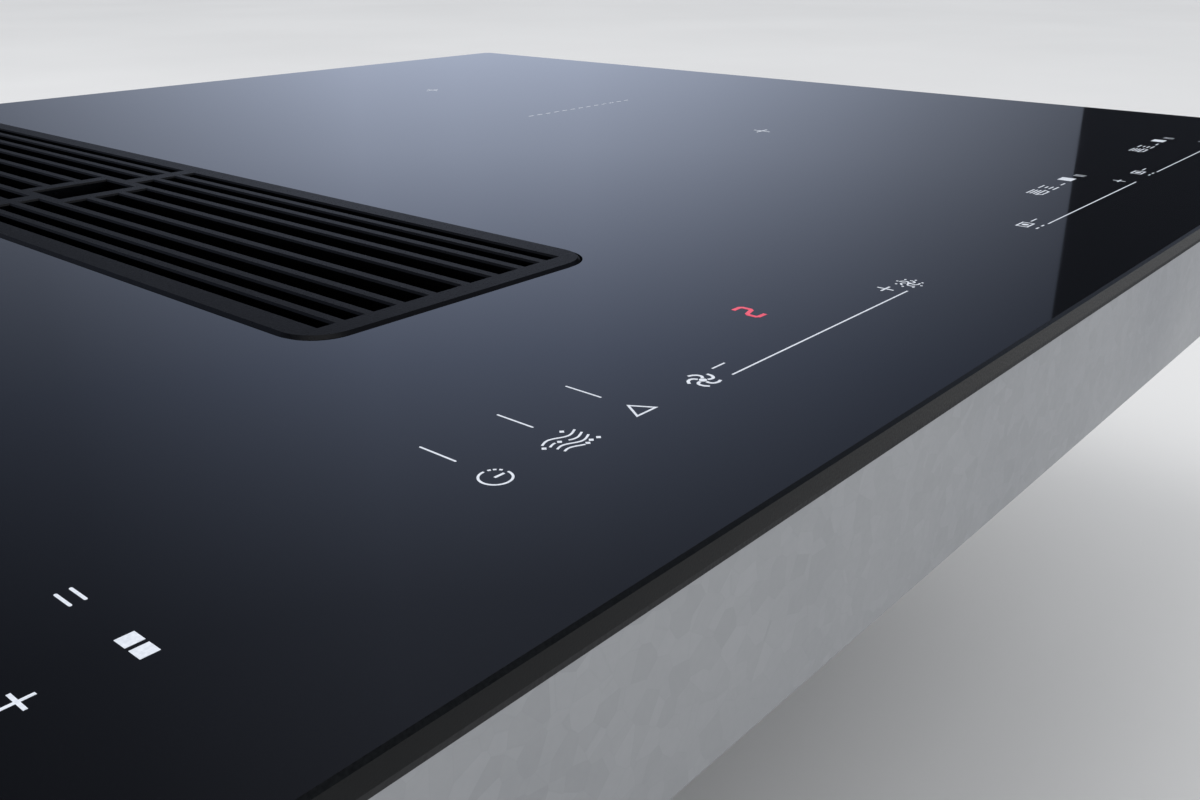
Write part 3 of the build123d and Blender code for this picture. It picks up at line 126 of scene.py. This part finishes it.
class Look(Tree):
    """One material: a shader, and short calls for the textures that drive it."""

    wave_scale = pi / 10  # the wave texture's scale at which its bands are 1 m apart

    def __init__(self, name, colour, roughness, metallic=0.0, ior=1.5):
        self.material = bpy.data.materials.new(name)
        self.material.use_nodes = True
        super().__init__(self.material.node_tree)
        self.shader = self.add("ShaderNodeBsdfPrincipled")
        self.shader.inputs["Base Color"].default_value = (*colour, 1)
        self.shader.inputs["Roughness"].default_value = roughness
        self.shader.inputs["Metallic"].default_value = metallic
        self.shader.inputs["IOR"].default_value = ior
        self.output = self.add("ShaderNodeOutputMaterial")
        self.link(self.shader.outputs["BSDF"], self.output.inputs["Surface"])
        self.place = self.add("ShaderNodeTexCoord").outputs["Object"]

    def stretched(self, stretch, origin=(0, 0, 0)):
        """Object coordinates measured from an origin and scaled along each axis."""
        mapping = self.add("ShaderNodeMapping")
        self.link(self.place, mapping.inputs["Vector"])
        mapping.inputs["Scale"].default_value = stretch
        mapping.inputs["Location"].default_value = [-a * b for a, b in zip(origin, stretch)]
        return mapping.outputs["Vector"]

    def noise(self, scale, detail=3.0, stretch=(1, 1, 1), distortion=0.0):
        texture = self.add("ShaderNodeTexNoise")
        self.link(self.stretched(stretch), texture.inputs["Vector"])
        texture.inputs["Scale"].default_value = scale
        texture.inputs["Detail"].default_value = detail
        texture.inputs["Distortion"].default_value = distortion
        return texture.outputs["Fac"]

    def cells(self, scale, output="Distance", feature="F1", stretch=(1, 1, 1)):
        texture = self.add("ShaderNodeTexVoronoi", feature=feature)
        self.link(self.stretched(stretch), texture.inputs["Vector"])
        texture.inputs["Scale"].default_value = scale
        return texture.outputs[output]

    def bands(self, pitch, direction="X", kind="BANDS", distortion=0.0, origin=(0, 0, 0)):
        """A wave of that pitch in metres, in bands across an axis or in rings round one."""
        texture = self.add("ShaderNodeTexWave", wave_type=kind)
        if kind == "RINGS":
            texture.rings_direction = direction
        else:
            texture.bands_direction = direction
        self.link(self.stretched((1, 1, 1), origin), texture.inputs["Vector"])
        texture.inputs["Scale"].default_value = self.wave_scale / pitch
        texture.inputs["Distortion"].default_value = distortion
        return texture.outputs["Fac"]

    def colour(self, value):
        self.link(value, self.shader.inputs["Base Color"])

    def rough(self, value):
        self.link(value, self.shader.inputs["Roughness"])

    def relief(self, height, depth):
        """Raises the surface by that depth in metres where the height is 1."""
        node = self.add("ShaderNodeBump")
        node.inputs["Distance"].default_value = depth
        self.link(height, node.inputs["Height"])
        self.link(node.outputs["Normal"], self.shader.inputs["Normal"])


def scaled(colour, factor):
    """A colour made lighter or darker by a factor."""
    return tuple(channel * factor for channel in colour)


def moulded(name, colour, roughness, grain=900.0, depth=0.00006, mottle=0.16):
    """Moulded plastic or rubber: fine eroded grain, and slow flow marks in tone and gloss."""
    look = Look(name, colour, roughness)
    slow = look.noise(14, 4, distortion=0.6)
    fine = look.noise(grain, 2)
    cell = look.cells(grain * 0.8)
    look.colour(look.tones(slow, (0.3, scaled(colour, 1 - mottle)),
                           (0.7, scaled(colour, 1 + mottle))))
    look.rough(look.spread(slow, roughness - 0.07, roughness + 0.07))
    look.relief(look.maths("ADD", fine, cell), depth)
    return look


def drawn(name, colour, roughness, along, grain=700.0, depth=0.00002):
    """Rolled, brushed or extruded metal: long fine streaks along one axis."""
    look = Look(name, colour, roughness, 1.0)
    stretch = [1.0, 1.0, 1.0]
    stretch["XYZ".index(along)] = 0.02
    streak = look.noise(grain, 4, stretch)
    slow = look.noise(9, 3)
    look.colour(look.tones(streak, (0.3, scaled(colour, 0.84)), (0.7, scaled(colour, 1.08))))
    look.rough(look.spread(look.maths("ADD", streak, look.maths("MULTIPLY", slow, 0.5)),
                           roughness - 0.08, roughness + 0.1, 0.5, 1.0))
    look.relief(streak, depth)
    return look


def turned(name, colour, roughness, pitch=0.0006):
    """Metal turned on a lathe about the blower's axis."""
    look = Look(name, colour, roughness, 1.0)
    ring = look.bands(pitch, "Z", "RINGS", 0.4, blower_axis)
    slow = look.noise(30, 3)
    look.colour(look.tones(slow, (0.3, scaled(colour, 0.8)), (0.7, scaled(colour, 1.1))))
    look.rough(look.spread(ring, roughness - 0.06, roughness + 0.08, 0, 1))
    look.relief(ring, 0.00002)
    return look


def black_glass():
    """Glass-ceramic: a deep black polished face with a faint wipe and fine specks."""
    look = Look("black_glass", (0.0035, 0.0038, 0.0048), 0.035, ior=1.51)
    wipe = look.noise(6, 5, (1, 2.4, 1), 0.8)
    speck = look.cells(2600)
    look.colour(look.tones(speck, (0.0, (0.0065, 0.007, 0.009)),
                           (0.25, (0.0032, 0.0035, 0.0045))))
    look.rough(look.spread(wipe, 0.03, 0.055))
    look.relief(look.noise(3.5, 2), 0.00008)
    return look


def ground_glass():
    """The glass's ground edge: the same black, dull and fine-grained, with hardly a shine."""
    look = Look("ground_glass", (0.004, 0.0045, 0.005), 0.42, ior=1.5)
    look.shader.inputs["Specular IOR Level"].default_value = 0.12
    grit = look.noise(2400, 2)
    look.colour(look.tones(grit, (0.3, (0.003, 0.0035, 0.004)), (0.7, (0.0065, 0.0075, 0.0085))))
    look.rough(look.spread(grit, 0.34, 0.52))
    look.relief(grit, 0.00002)
    return look


def grille_metal():
    """Matt dark coating on cast metal, with the fine orange peel of a baked powder."""
    look = Look("grille_metal", (0.036, 0.036, 0.037), 0.32, 1.0)
    look.shader.inputs["Specular Tint"].default_value = (0.53, 0.52, 0.505, 1)
    peel = look.noise(1500, 2)
    sparkle = look.cells(3200, "Color")
    slow = look.noise(12, 3)
    look.colour(look.tones(slow, (0.3, (0.032, 0.032, 0.033)),
                           (0.7, (0.04, 0.04, 0.041))))
    look.rough(look.spread(sparkle, 0.26, 0.38, 0, 1))
    look.relief(peel, 0.00004)
    return look


def zinc_sheet():
    """Galvanised sheet with its spangle: crystals that differ in tone and gloss."""
    look = Look("zinc_sheet", (0.4, 0.41, 0.42), 0.42, 1.0)
    crystals = 210  # in a metre
    spangle = look.cells(crystals, "Color")
    veins = look.cells(crystals, "Distance", "DISTANCE_TO_EDGE")
    fine = look.noise(520, 3)
    slow = look.noise(11, 3)
    tone = look.tones(spangle, (0.1, (0.365, 0.375, 0.39)), (0.5, (0.39, 0.40, 0.415)),
                      (0.9, (0.415, 0.425, 0.44)))
    vein_share = look.spread(veins, 0.25, 0.0, 0.0, 0.03)
    look.colour(look.blend(vein_share, tone, (0.345, 0.355, 0.37)))
    patina = look.spread(slow, -0.04, 0.06)
    cloud = look.maths("ADD", patina, look.spread(fine, -0.02, 0.03))
    look.rough(look.maths("ADD", look.spread(spangle, 0.39, 0.44, 0, 1), cloud))
    look.relief(fine, 0.00002)
    return look


def coil_copper(name, centre):
    """Flat litz winding: turns on rounded squares about a centre, each with its twisted strands,
    and painted shade between the turns with a painted highlight on their crowns.
    """
    look = Look(name, (0.62, 0.26, 0.12), 0.34, 1.0)
    split = look.add("ShaderNodeSeparateXYZ")
    look.link(look.stretched((1, 1, 1), centre), split.inputs["Vector"])
    squareness = 4.0  # 2 would give round turns
    turn_pitch = 0.0033
    across = look.maths("POWER", look.maths("ABSOLUTE", split.outputs["X"]), squareness)
    along = look.maths("POWER", look.maths("ABSOLUTE", split.outputs["Y"]), squareness)
    distance = look.maths("POWER", look.maths("ADD", across, along), 1 / squareness)
    turns = look.maths("SINE", look.maths("MULTIPLY", distance, 2 * pi / turn_pitch))
    strands = look.noise(900, 2, distortion=1.5)
    rise = look.maths("ADD", look.maths("MULTIPLY", turns, 0.7),
                      look.maths("MULTIPLY", strands, 0.5))
    # The colour is painted light: dark copper as painted shade in the grooves between turns, pale
    # copper as a painted highlight on their crowns.
    look.colour(look.tones(look.spread(turns, 0.0, 1.0, -1.0, 1.0), (0.0, (0.16, 0.05, 0.02)),
                           (0.35, (0.52, 0.2, 0.085)), (1.0, (0.74, 0.33, 0.16))))
    look.rough(look.spread(strands, 0.26, 0.42))
    look.relief(rise, 0.0006)
    return look


def wound_copper():
    """Enamelled wire wound round an upright core, with painted shade between the turns and a
    painted highlight on their crowns.
    """
    look = Look("copper", (0.6, 0.25, 0.1), 0.3, 1.0)
    wire_pitch = 0.0011
    wire = look.bands(wire_pitch, "Z", distortion=0.6)
    # The colour is painted light: painted shade in the grooves between the turns of wire, a painted
    # highlight on their crowns.
    look.colour(look.tones(wire, (0.0, (0.14, 0.045, 0.015)), (0.4, (0.5, 0.2, 0.08)),
                           (1.0, (0.7, 0.32, 0.14))))
    look.rough(look.spread(look.noise(200, 3), 0.24, 0.4))
    look.relief(wire, 0.0004)
    return look


def laminations():
    """Stacked sheets of motor steel, edge on."""
    look = Look("laminations", (0.22, 0.22, 0.235), 0.45, 1.0)
    sheet_pitch = 0.0007
    sheet = look.bands(sheet_pitch, "Z")
    look.colour(look.tones(sheet, (0.0, (0.06, 0.06, 0.065)), (0.3, (0.2, 0.2, 0.215)),
                           (1.0, (0.3, 0.3, 0.32))))
    look.rough(look.spread(look.noise(160, 3), 0.38, 0.56))
    look.relief(sheet, 0.00015)
    return look


def fibre_mat():
    """Pale felt of long fibres that cross."""
    look = Look("fibre_mat", (0.8, 0.79, 0.75), 0.95)
    fibres = look.noise(520, 4, (1, 0.3, 1), 3.0)
    crossing = look.noise(480, 4, (0.3, 1, 1), 3.0)
    felt = look.maths("MAXIMUM", fibres, crossing)
    look.colour(look.tones(felt, (0.35, (0.6, 0.58, 0.53)), (0.7, (0.84, 0.83, 0.79))))
    look.relief(felt, 0.0004)
    return look


def circuit_board():
    """Green solder mask in patches of two tones, with paler copper tracks under it."""
    look = Look("circuit_board", (0.02, 0.14, 0.05), 0.32)
    blocks = look.cells(120, "Color", "F1", (1, 1, 0.2))
    track_pitch = 0.0024
    tracks = look.bands(track_pitch)
    lanes = look.cells(70, "Distance", "DISTANCE_TO_EDGE", (1, 1, 0.1))
    track = look.maths("MULTIPLY", look.spread(tracks, 0.0, 1.0, 0.55, 0.7),
                       look.spread(lanes, 0.0, 1.0, 0.05, 0.09))
    board = look.tones(blocks, (0.1, (0.012, 0.10, 0.035)), (0.9, (0.02, 0.15, 0.055)))
    look.colour(look.blend(track, board, (0.06, 0.27, 0.1)))
    look.rough(look.spread(look.noise(300, 2), 0.26, 0.4))
    look.relief(track, 0.0001)
    return look


def smoked_lens():
    """Dark red display plastic."""
    look = Look("display_plastic", (0.02, 0.006, 0.006), 0.12, ior=1.55)
    cell = look.cells(260, stretch=(1, 1, 0.2))
    look.colour(look.tones(cell, (0.2, (0.05, 0.012, 0.012)), (0.6, (0.012, 0.005, 0.005))))
    look.rough(look.spread(look.noise(400, 2), 0.08, 0.18))
    return look


def ceramic(name, colour):
    """Sintered magnet or ferrite: dull and grainy."""
    look = Look(name, colour, 0.6)
    grain = look.noise(700, 3)
    look.colour(look.tones(grain, (0.3, scaled(colour, 0.75)), (0.7, scaled(colour, 1.3))))
    look.rough(look.spread(grain, 0.5, 0.72))
    look.relief(grain, 0.0001)
    return look


def plated(name, colour, roughness):
    """Bright zinc or sprung steel: slight clouding and short scratches."""
    look = Look(name, colour, roughness, 1.0)
    cloud = look.noise(260, 4)
    scratch = look.noise(900, 2, (1, 0.08, 1))
    look.colour(look.tones(cloud, (0.3, scaled(colour, 0.85)), (0.7, scaled(colour, 1.08))))
    look.rough(look.spread(scratch, roughness - 0.08, roughness + 0.12))
    look.relief(scratch, 0.00001)
    return look


finishes = {
    "black_glass": black_glass(),
    "grille_metal": grille_metal(),
    "dark_rubber": moulded("dark_rubber", (0.014, 0.014, 0.015), 0.75, 1300, 0.00008),
    "zinc_sheet": zinc_sheet(),
    "frame_aluminium": drawn("frame_aluminium", (0.62, 0.63, 0.65), 0.34, "X"),
    "duct_plastic": moulded("duct_plastic", (0.022, 0.022, 0.024), 0.48),
    "blower_plastic": moulded("blower_plastic", (0.062, 0.066, 0.072), 0.5, 800),
    "impeller_plastic": moulded("impeller_plastic", (0.03, 0.03, 0.033), 0.42, 1200, 0.00004, 0.25),
    "filter_steel": drawn("filter_steel", (0.58, 0.58, 0.59), 0.3, "Y"),
    "motor_steel": turned("motor_steel", (0.46, 0.47, 0.49), 0.3),
    "magnet": ceramic("magnet", (0.05, 0.05, 0.055)),
    "copper": wound_copper(),
    "laminations": laminations(),
    "ferrite": ceramic("ferrite", (0.035, 0.035, 0.04)),
    "former_plastic": moulded("former_plastic", (0.62, 0.58, 0.48), 0.55, 1000, 0.00006, 0.06),
    "fibre_mat": fibre_mat(),
    "circuit_board": circuit_board(),
    "heat_sink": drawn("heat_sink", (0.66, 0.67, 0.69), 0.36, "Y"),
    "black_resin": moulded("black_resin", (0.012, 0.012, 0.013), 0.5, 2200, 0.00005),
    "capacitor_case": moulded("capacitor_case", (0.62, 0.24, 0.03), 0.28, 1800, 0.00002, 0.08),
    "display_plastic": smoked_lens(),
    "spring_steel": plated("spring_steel", (0.5, 0.5, 0.52), 0.3),
    "screw_zinc": plated("screw_zinc", (0.68, 0.69, 0.72), 0.22),
    "knob_plastic": moulded("knob_plastic", (0.03, 0.03, 0.033), 0.45),
    "terminal_plastic": moulded("terminal_plastic", (0.7, 0.7, 0.67), 0.42, 1100, 0.00004, 0.05),
}
flat_face = 0.9  # a face of the glass is its top or underside when its normal stands this upright
slots = {part["node"]: part["material_slot"] for part in frame["record"]["subparts"]}
for name, node in nodes.items():
    look = finishes[slots[name]]
    if name.startswith("coil_winding"):
        centre = (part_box(name)[0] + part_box(name)[1]) / 2
        look = coil_copper(name, centre)
    node.data.materials.clear()
    node.data.materials.append(look.material)
    if name == "glass_top":
        node.data.materials.append(ground_glass().material)
        for face in node.data.polygons:
            face.material_index = 0 if abs(face.normal.z) > flat_face else 1


# ---------------------------------------------------------------- printed marks on the glass
class Print:
    """Flat printed strokes and patches that become one thin piece lying on the glass."""

    thickness = 0.03 * mm
    mitre_limit = 0.4
    # Shares of a fan's radius, and the turn of a blade from its root to its tip in radians.
    fan_hub = 0.24
    blade_root = 0.3
    blade_bend = 0.95
    # The long wave of the air symbol, of which each stroke draws a part.
    wave_start = -49.4
    wave_length = 7.6
    wave_height = 0.62
    wave_step = 0.45

    def __init__(self):
        self.places = []
        self.faces = []

    def patch(self, outline):
        """A closed outline of glass places, filled."""
        start = len(self.places)
        count = len(outline)
        for level in (0, self.thickness):
            for x, y in outline:
                self.places.append((x * mm, glass_low.y + y * mm, glass_high.z + level))
        self.faces.append([start + count + i for i in range(count)])
        self.faces.append([start + i for i in reversed(range(count))])
        for i in range(count):
            j = (i + 1) % count
            self.faces.append((start + i, start + j, start + count + j, start + count + i))

    def line(self, points, width, closed=False):
        """A stroke of even width along points, mitred at its corners."""
        count = len(points)
        sides = []
        for i, (x, y) in enumerate(points):
            before = points[i - 1] if closed or i > 0 else points[i]
            after = points[(i + 1) % count] if closed or i < count - 1 else points[i]
            arrive = Vector((x - before[0], y - before[1]))
            leave = Vector((after[0] - x, after[1] - y))
            arrive = (arrive if arrive.length else leave).normalized()
            leave = (leave if leave.length else arrive).normalized()
            middle = (arrive + leave).normalized()
            reach = width / 2 / max(middle.dot(leave), self.mitre_limit)
            across = Vector((-middle.y, middle.x)) * reach
            sides.append(((x + across.x, y + across.y), (x - across.x, y - across.y)))
        for i in range(count if closed else count - 1):
            (left, right), (next_left, next_right) = sides[i], sides[(i + 1) % count]
            self.patch([right, next_right, next_left, left])

    def dot(self, x, y, radius, corners=12):
        turns = [2 * pi * i / corners for i in range(corners)]
        self.patch([(x + radius * cos(turn), y + radius * sin(turn)) for turn in turns])

    def bar(self, x, y, width, length):
        """An upright bar with rounded ends, centred on a place."""
        radius = width / 2
        outline = []
        for end, start in ((1, 0), (-1, 180)):
            middle = y + end * (length / 2 - radius)
            for turn in range(start, start + 181, 30):
                angle = radians(turn)
                outline.append((x + radius * cos(angle), middle + radius * sin(angle)))
        self.patch(outline)

    def box(self, x, y, width, length):
        self.patch([(x - width / 2, y - length / 2), (x + width / 2, y - length / 2),
                    (x + width / 2, y + length / 2), (x - width / 2, y + length / 2)])

    def plus(self, x, y, reach, width):
        """A plus sign of four equal arms."""
        half, thin = reach / 2, width / 2
        corners = ((-thin, -half), (thin, -half), (thin, -thin), (half, -thin), (half, thin),
                   (thin, thin), (thin, half), (-thin, half), (-thin, thin), (-half, thin),
                   (-half, -thin), (-thin, -thin))
        self.patch([(x + a, y + b) for a, b in corners])

    def minus(self, x, y, reach, width):
        self.box(x, y, reach, width)

    def arc(self, x, y, radius, start, end, width, steps=24):
        turns = [radians(start + (end - start) * i / steps) for i in range(steps + 1)]
        self.line([(x + radius * cos(turn), y + radius * sin(turn)) for turn in turns], width)

    def fan(self, x, y, radius, width, blades=5, start=40.0):
        """A fan wheel seen from above: blades that bend forward at their tips, round a hub."""
        self.dot(x, y, self.fan_hub * radius)
        for blade in range(blades):
            turn = radians(start) + 2 * pi * blade / blades
            points = []
            for step in range(7):
                share = step / 6
                reach = radius * (self.blade_root + (1 - self.blade_root) * share ** 0.8)
                angle = turn + self.blade_bend * share ** 2.2
                points.append((x + reach * cos(angle), y + reach * sin(angle)))
            self.line(points, width)

    def wave(self, start, end, y, width=0.42):
        """Part of the long low wave that runs across the air symbol from left to right."""
        steps = max(3, round((end - start) / self.wave_step))
        points = []
        for step in range(steps + 1):
            x = start + (end - start) * step / steps
            phase = (x - self.wave_start) / self.wave_length * 2 * pi
            points.append((x, y + self.wave_height * sin(phase)))
        self.line(points, width)

    def spark(self, x, y, reach):
        """A small diamond."""
        self.patch([(x - reach, y), (x, y - reach), (x + reach, y), (x, y + reach)])

    def piece(self, name, look):
        """Makes the piece, which rides on the hob."""
        mesh = bpy.data.meshes.new(name)
        mesh.from_pydata(self.places, [], self.faces)
        mesh.materials.append(look.material)
        made = bpy.data.objects.new(name, mesh)
        bpy.context.scene.collection.objects.link(made)
        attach(made, "hob")


def enamel():
    """White enamel print: slightly grainy, matt beside the glass."""
    look = Look("white_enamel", (0.74, 0.78, 0.86), 0.5)
    grain = look.noise(2400, 2)
    look.colour(look.tones(grain, (0.3, (0.66, 0.7, 0.78)), (0.7, (0.8, 0.84, 0.92))))
    look.rough(look.spread(grain, 0.42, 0.6))
    return look


def red_segment():
    """A lit red display segment seen through the glass."""
    look = Look("red_segment", (0.5, 0.02, 0.03), 0.3)
    glow = look.tones(look.noise(700, 2), (0.3, (0.62, 0.05, 0.09)), (0.7, (0.74, 0.075, 0.12)))
    look.colour(glow)
    look.link(glow, look.shader.inputs["Emission Color"])
    look.shader.inputs["Emission Strength"].default_value = 0.3
    return look


white = enamel()
stroke = 0.42
bold = 0.5
slider_y = 33.85
symbol_y = 36.4
sign_y = 38.7
slider_length = 77.6

# The extractor's controls in the middle of the front edge: a slider with a fan at each end, and to
# its left a clock, an air symbol and a triangle.
middle = Print()
middle.line([(-2.6, slider_y), (68.9, slider_y)], stroke)
middle.fan(-8.5, symbol_y, 3.3, 0.62)
middle.minus(-0.4, 38.6, 4.2, stroke)
middle.plus(67.2, 38.6, 4.2, bold)
# The fan at the far end stands in a ring of dots.
boost_x = 74.9
middle.fan(boost_x, symbol_y, 2.5, stroke)
for turn in range(0, 360, 45):
    middle.dot(boost_x + 3.35 * cos(radians(turn)), symbol_y + 3.1 * sin(radians(turn)), 0.33, 8)
# A clock face: three quarters drawn, the last quarter in dashes, and one hand.
clock_x, clock_radius = -62.7, 2.7
middle.arc(clock_x, symbol_y, clock_radius, 88, 360, stroke)
for turn in (27, 48, 67):
    middle.arc(clock_x, symbol_y, clock_radius, turn - 6, turn + 6, 0.45, 3)
middle.line([(-62.9, symbol_y), (-60.8, symbol_y)], bold)
# An upright bar over each of the three symbols.
for x in (-62.75, -45.1, -27.4):
    middle.bar(x, 49.45, 0.4, 8.7)
# Air that flows in waves, with sparks of vapour round it.
for start, end, y in ((-49.6, -41.2, 39.0), (-49.2, -47.4, 37.4), (-45.1, -41.2, 37.4),
                      (-49.0, -41.2, 35.9), (-48.8, -44.6, 34.4)):
    middle.wave(start, end, y)
for x, y in ((-43.3, 40.3), (-50.2, 37.9), (-46.6, 37.8), (-41.0, 34.2), (-42.6, 34.4),
             (-43.9, 34.0)):
    middle.spark(x, y, 0.55)
middle.line([(-29.9, 34.9), (-27.2, 39.1), (-24.7, 34.9)], 0.45, closed=True)
middle.piece("marks_extractor", white)

# The level shown, in one stroke with its corners cut.
digit = Print()
digit.line([(30.5, 56.3), (33.0, 56.3), (33.5, 55.8), (33.5, 53.9), (33.0, 53.2), (30.4, 52.5),
            (29.9, 51.9), (29.9, 50.0), (30.4, 49.5), (32.9, 49.5)], 1.05)
digit.piece("display_digit", red_segment())


def zone_slider(marks, x):
    """A cooking zone's slider from that place, with the minus at its start."""
    marks.line([(x, slider_y), (x + slider_length, slider_y)], stroke)
    marks.minus(x + 1.9, sign_y, 4.2, stroke)


def pot_key(marks, x):
    """A pot with three lines of steam over it, for the slider that starts at that place."""
    marks.line([(x + 36.6, 51.6), (x + 44.6, 51.6), (x + 43.4, 50.0), (x + 37.8, 50.0)], bold,
               closed=True)
    for level in (52.7, 53.8, 54.9):
        marks.minus(x + 40.6, level, 6.6, bold)


def filled_key(marks, x):
    marks.box(x + 67.3, 53.0, 5.2, 4.6)


def cooking_zone(marks, x):
    """The controls of one cooking zone on the right: its slider starts at that place."""
    zone_slider(marks, x)
    marks.plus(x + 75.9, sign_y, 4.0, bold)
    # The zone's key: a cooking place with its pot.
    marks.line([(x - 7.6, 36.9), (x - 2.5, 36.9), (x - 2.5, 40.1), (x - 7.6, 40.1)], bold,
               closed=True)
    marks.dot(x - 5.05, 38.5, 1.0)
    for side in (-7.0, -3.1):
        marks.minus(x + side, 34.2, 1.9, bold)
    # A pot, a stack of levels, a dash, a filled key and a pause sign.
    pot_key(marks, x)
    for level, width in ((50.2, 5.2), (51.7, 4.0), (53.2, 2.8), (54.9, 5.2)):
        marks.minus(x + 49.8, level, width, bold)
    marks.minus(x + 58.0, 50.9, 3.6, bold)
    filled_key(marks, x)
    for side in (75.3, 77.2):
        marks.bar(x + side, 51.8, 0.45, 3.8)


right = Print()
cooking_zone(right, 155.6)
cooking_zone(right, 255.5)
right.piece("marks_right", white)

# The left side's two sliders, and to their right a pause sign and two squares.
left = Print()
for start in (-218.5, -319.0):
    zone_slider(left, start)
    left.plus(start + 82.7, 36.3, 4.2, 0.55)
    pot_key(left, start)
    filled_key(left, start)
for x in (-122.6, -120.6):
    left.bar(x, 52.6, bold, 4.3)
for y in (38.1, 34.7):
    left.box(-121.7, y, 2.65, 2.6)
left.piece("marks_left", white)

# A plus at the middle of each coil, and a dashed line where the two zones of a side meet.
zones = Print()
zone_dashes = 13
zone_dash_pitch = 5.6
for side in (-1, 1):
    for y in (186.0, 389.0):
        zones.plus(side * 241.3, y, 7.6, 0.8)
    for dash in range(zone_dashes):
        dash_x = side * 242.9 + (dash - (zone_dashes - 1) / 2) * zone_dash_pitch
        zones.box(dash_x, 287.6, 3.0, 0.75)
zones.piece("marks_zones", white)

# ---------------------------------------------------------------- floor, light and camera
floor_look = Look("floor", (0.8, 0.8, 0.8), 0.9)
floor_look.colour(floor_look.tones(floor_look.noise(1.5, 3), (0.3, (0.78, 0.78, 0.785)),
                                   (0.7, (0.82, 0.82, 0.825))))
# The floor has an upper side only, so the underside of the object can be seen through it.
clear = floor_look.add("ShaderNodeBsdfTransparent")
upper = floor_look.add("ShaderNodeMixShader")
floor_look.link(floor_look.add("ShaderNodeNewGeometry").outputs["Backfacing"], upper.inputs["Fac"])
floor_look.link(floor_look.shader.outputs["BSDF"], upper.inputs[1])
floor_look.link(clear.outputs["BSDF"], upper.inputs[2])
floor_look.link(upper.outputs["Shader"], floor_look.output.inputs["Surface"])
floor_radius = 14.0
floor_corners = 64
rim_turns = [2 * pi * i / floor_corners for i in range(floor_corners)]
rim = [(floor_radius * cos(turn), floor_radius * sin(turn), cad_box[0].z) for turn in rim_turns]
mesh = bpy.data.meshes.new("floor")
mesh.from_pydata(rim, [], [list(range(floor_corners))])
mesh.materials.append(floor_look.material)
floor = bpy.data.objects.new("floor", mesh)
bpy.context.scene.collection.objects.link(floor)

studio = bpy.data.worlds.new("studio")
bpy.context.scene.world = studio
studio.use_nodes = True
studio.cycles.sampling_method = "NONE"
# In degrees from +X towards +Y: one panel's width, the first panel's start, and the end of the
# screen, which starts at 0. Heights run from 0 at the horizon to 1 overhead.
panel_width = 60.0
panel_start = 16.0
screen_end = 18.2
ceiling_start = 0.58
ceiling_full = 0.82
world = Tree(studio.node_tree)
direction = world.add("ShaderNodeSeparateXYZ")
world.link(world.add("ShaderNodeTexCoord").outputs["Generated"], direction.inputs["Vector"])
height = world.maths("DIVIDE", world.maths("ARCSINE", direction.outputs["Z"]), pi / 2)
heading = world.maths("ARCTAN2", direction.outputs["Y"], direction.outputs["X"])
panel_place = world.maths("DIVIDE", heading, radians(panel_width))
# What polished surfaces see: a cool wall of soft light that is brightest near the horizon, in wide
# panels a sixth of a turn apart, and one narrow dark screen.
wall = world.tones(
    height, (0.0, (0.64, 0.72, 0.90)), (0.11, (0.61, 0.69, 0.89)), (0.22, (0.36, 0.43, 0.62)),
    (0.35, (0.195, 0.225, 0.31)), (0.46, (0.17, 0.185, 0.235)), (1.0, (0.34, 0.36, 0.40)))
phase = world.maths("FRACT", world.maths("SUBTRACT", panel_place, panel_start / panel_width))
panel_levels = ((0.0, 0.2), (0.06, 0.3), (0.15, 0.46), (0.23, 0.63), (0.33, 0.82), (0.42, 0.96),
                (0.52, 1.0), (0.6, 0.97), (0.72, 0.7), (0.85, 0.4), (1.0, 0.2))
panels = world.tones(phase, *((place, (level,) * 3) for place, level in panel_levels))
screen = world.maths("MULTIPLY", world.maths("GREATER_THAN", panel_place, 0.0),
                     world.maths("LESS_THAN", panel_place, screen_end / panel_width))
glow = world.blend(1.0, wall, panels, blend_type="MULTIPLY")
screened = world.blend(screen, glow, (0.018, 0.02, 0.026))
# Overhead the panels give way to one even soft ceiling.
overhead = world.spread(height, 0.0, 1.0, ceiling_start, ceiling_full,
                        interpolation_type="SMOOTHSTEP")
ceiling = world.blend(overhead, screened, (0.56, 0.57, 0.59))
glossy = world.add("ShaderNodeLightPath").outputs["Is Glossy Ray"]
lit = world.blend(glossy, (0.86, 0.87, 0.88), ceiling)
background = world.add("ShaderNodeBackground")
world.link(lit, background.inputs["Color"])
output = world.add("ShaderNodeOutputWorld")
world.link(background.outputs["Background"], output.inputs["Surface"])

light = bpy.data.lights.new("softbox", "AREA")
light.shape = "RECTANGLE"
light.size, light.size_y = 2.4, 1.6
light.energy = 26.0
light.color = (1.0, 0.99, 0.97)
softbox = bpy.data.objects.new("softbox", light)
bpy.context.scene.collection.objects.link(softbox)
softbox_place = Vector((-0.9, 0.5, 2.6))
softbox.location = softbox_place
# Its sharp outline is kept out of the polished glass, which sees only the soft panels.
softbox.visible_glossy = False
softbox.rotation_mode = "QUATERNION"
softbox.rotation_quaternion = softbox_place.to_track_quat("Z", "Y")

# The camera's place, direction and lens were worked out from the glass's edges in the photograph.
camera = bpy.data.cameras.new("camera")
camera.sensor_width = 36.0
camera.lens = 34.78
camera.clip_start, camera.clip_end = 0.01, 60.0
viewer = bpy.data.objects.new("camera", camera)
bpy.context.scene.collection.objects.link(viewer)
viewer.location = (-0.1741, -0.3345, 0.08374)
line_of_sight = Vector((0.7053, 0.6008, -0.3764))
viewer.rotation_mode = "QUATERNION"
viewer.rotation_quaternion = line_of_sight.to_track_quat("-Z", "Y")
bpy.context.scene.camera = viewer
bpy.context.scene.view_settings.view_transform = "Standard"

bpy.context.view_layer.update()
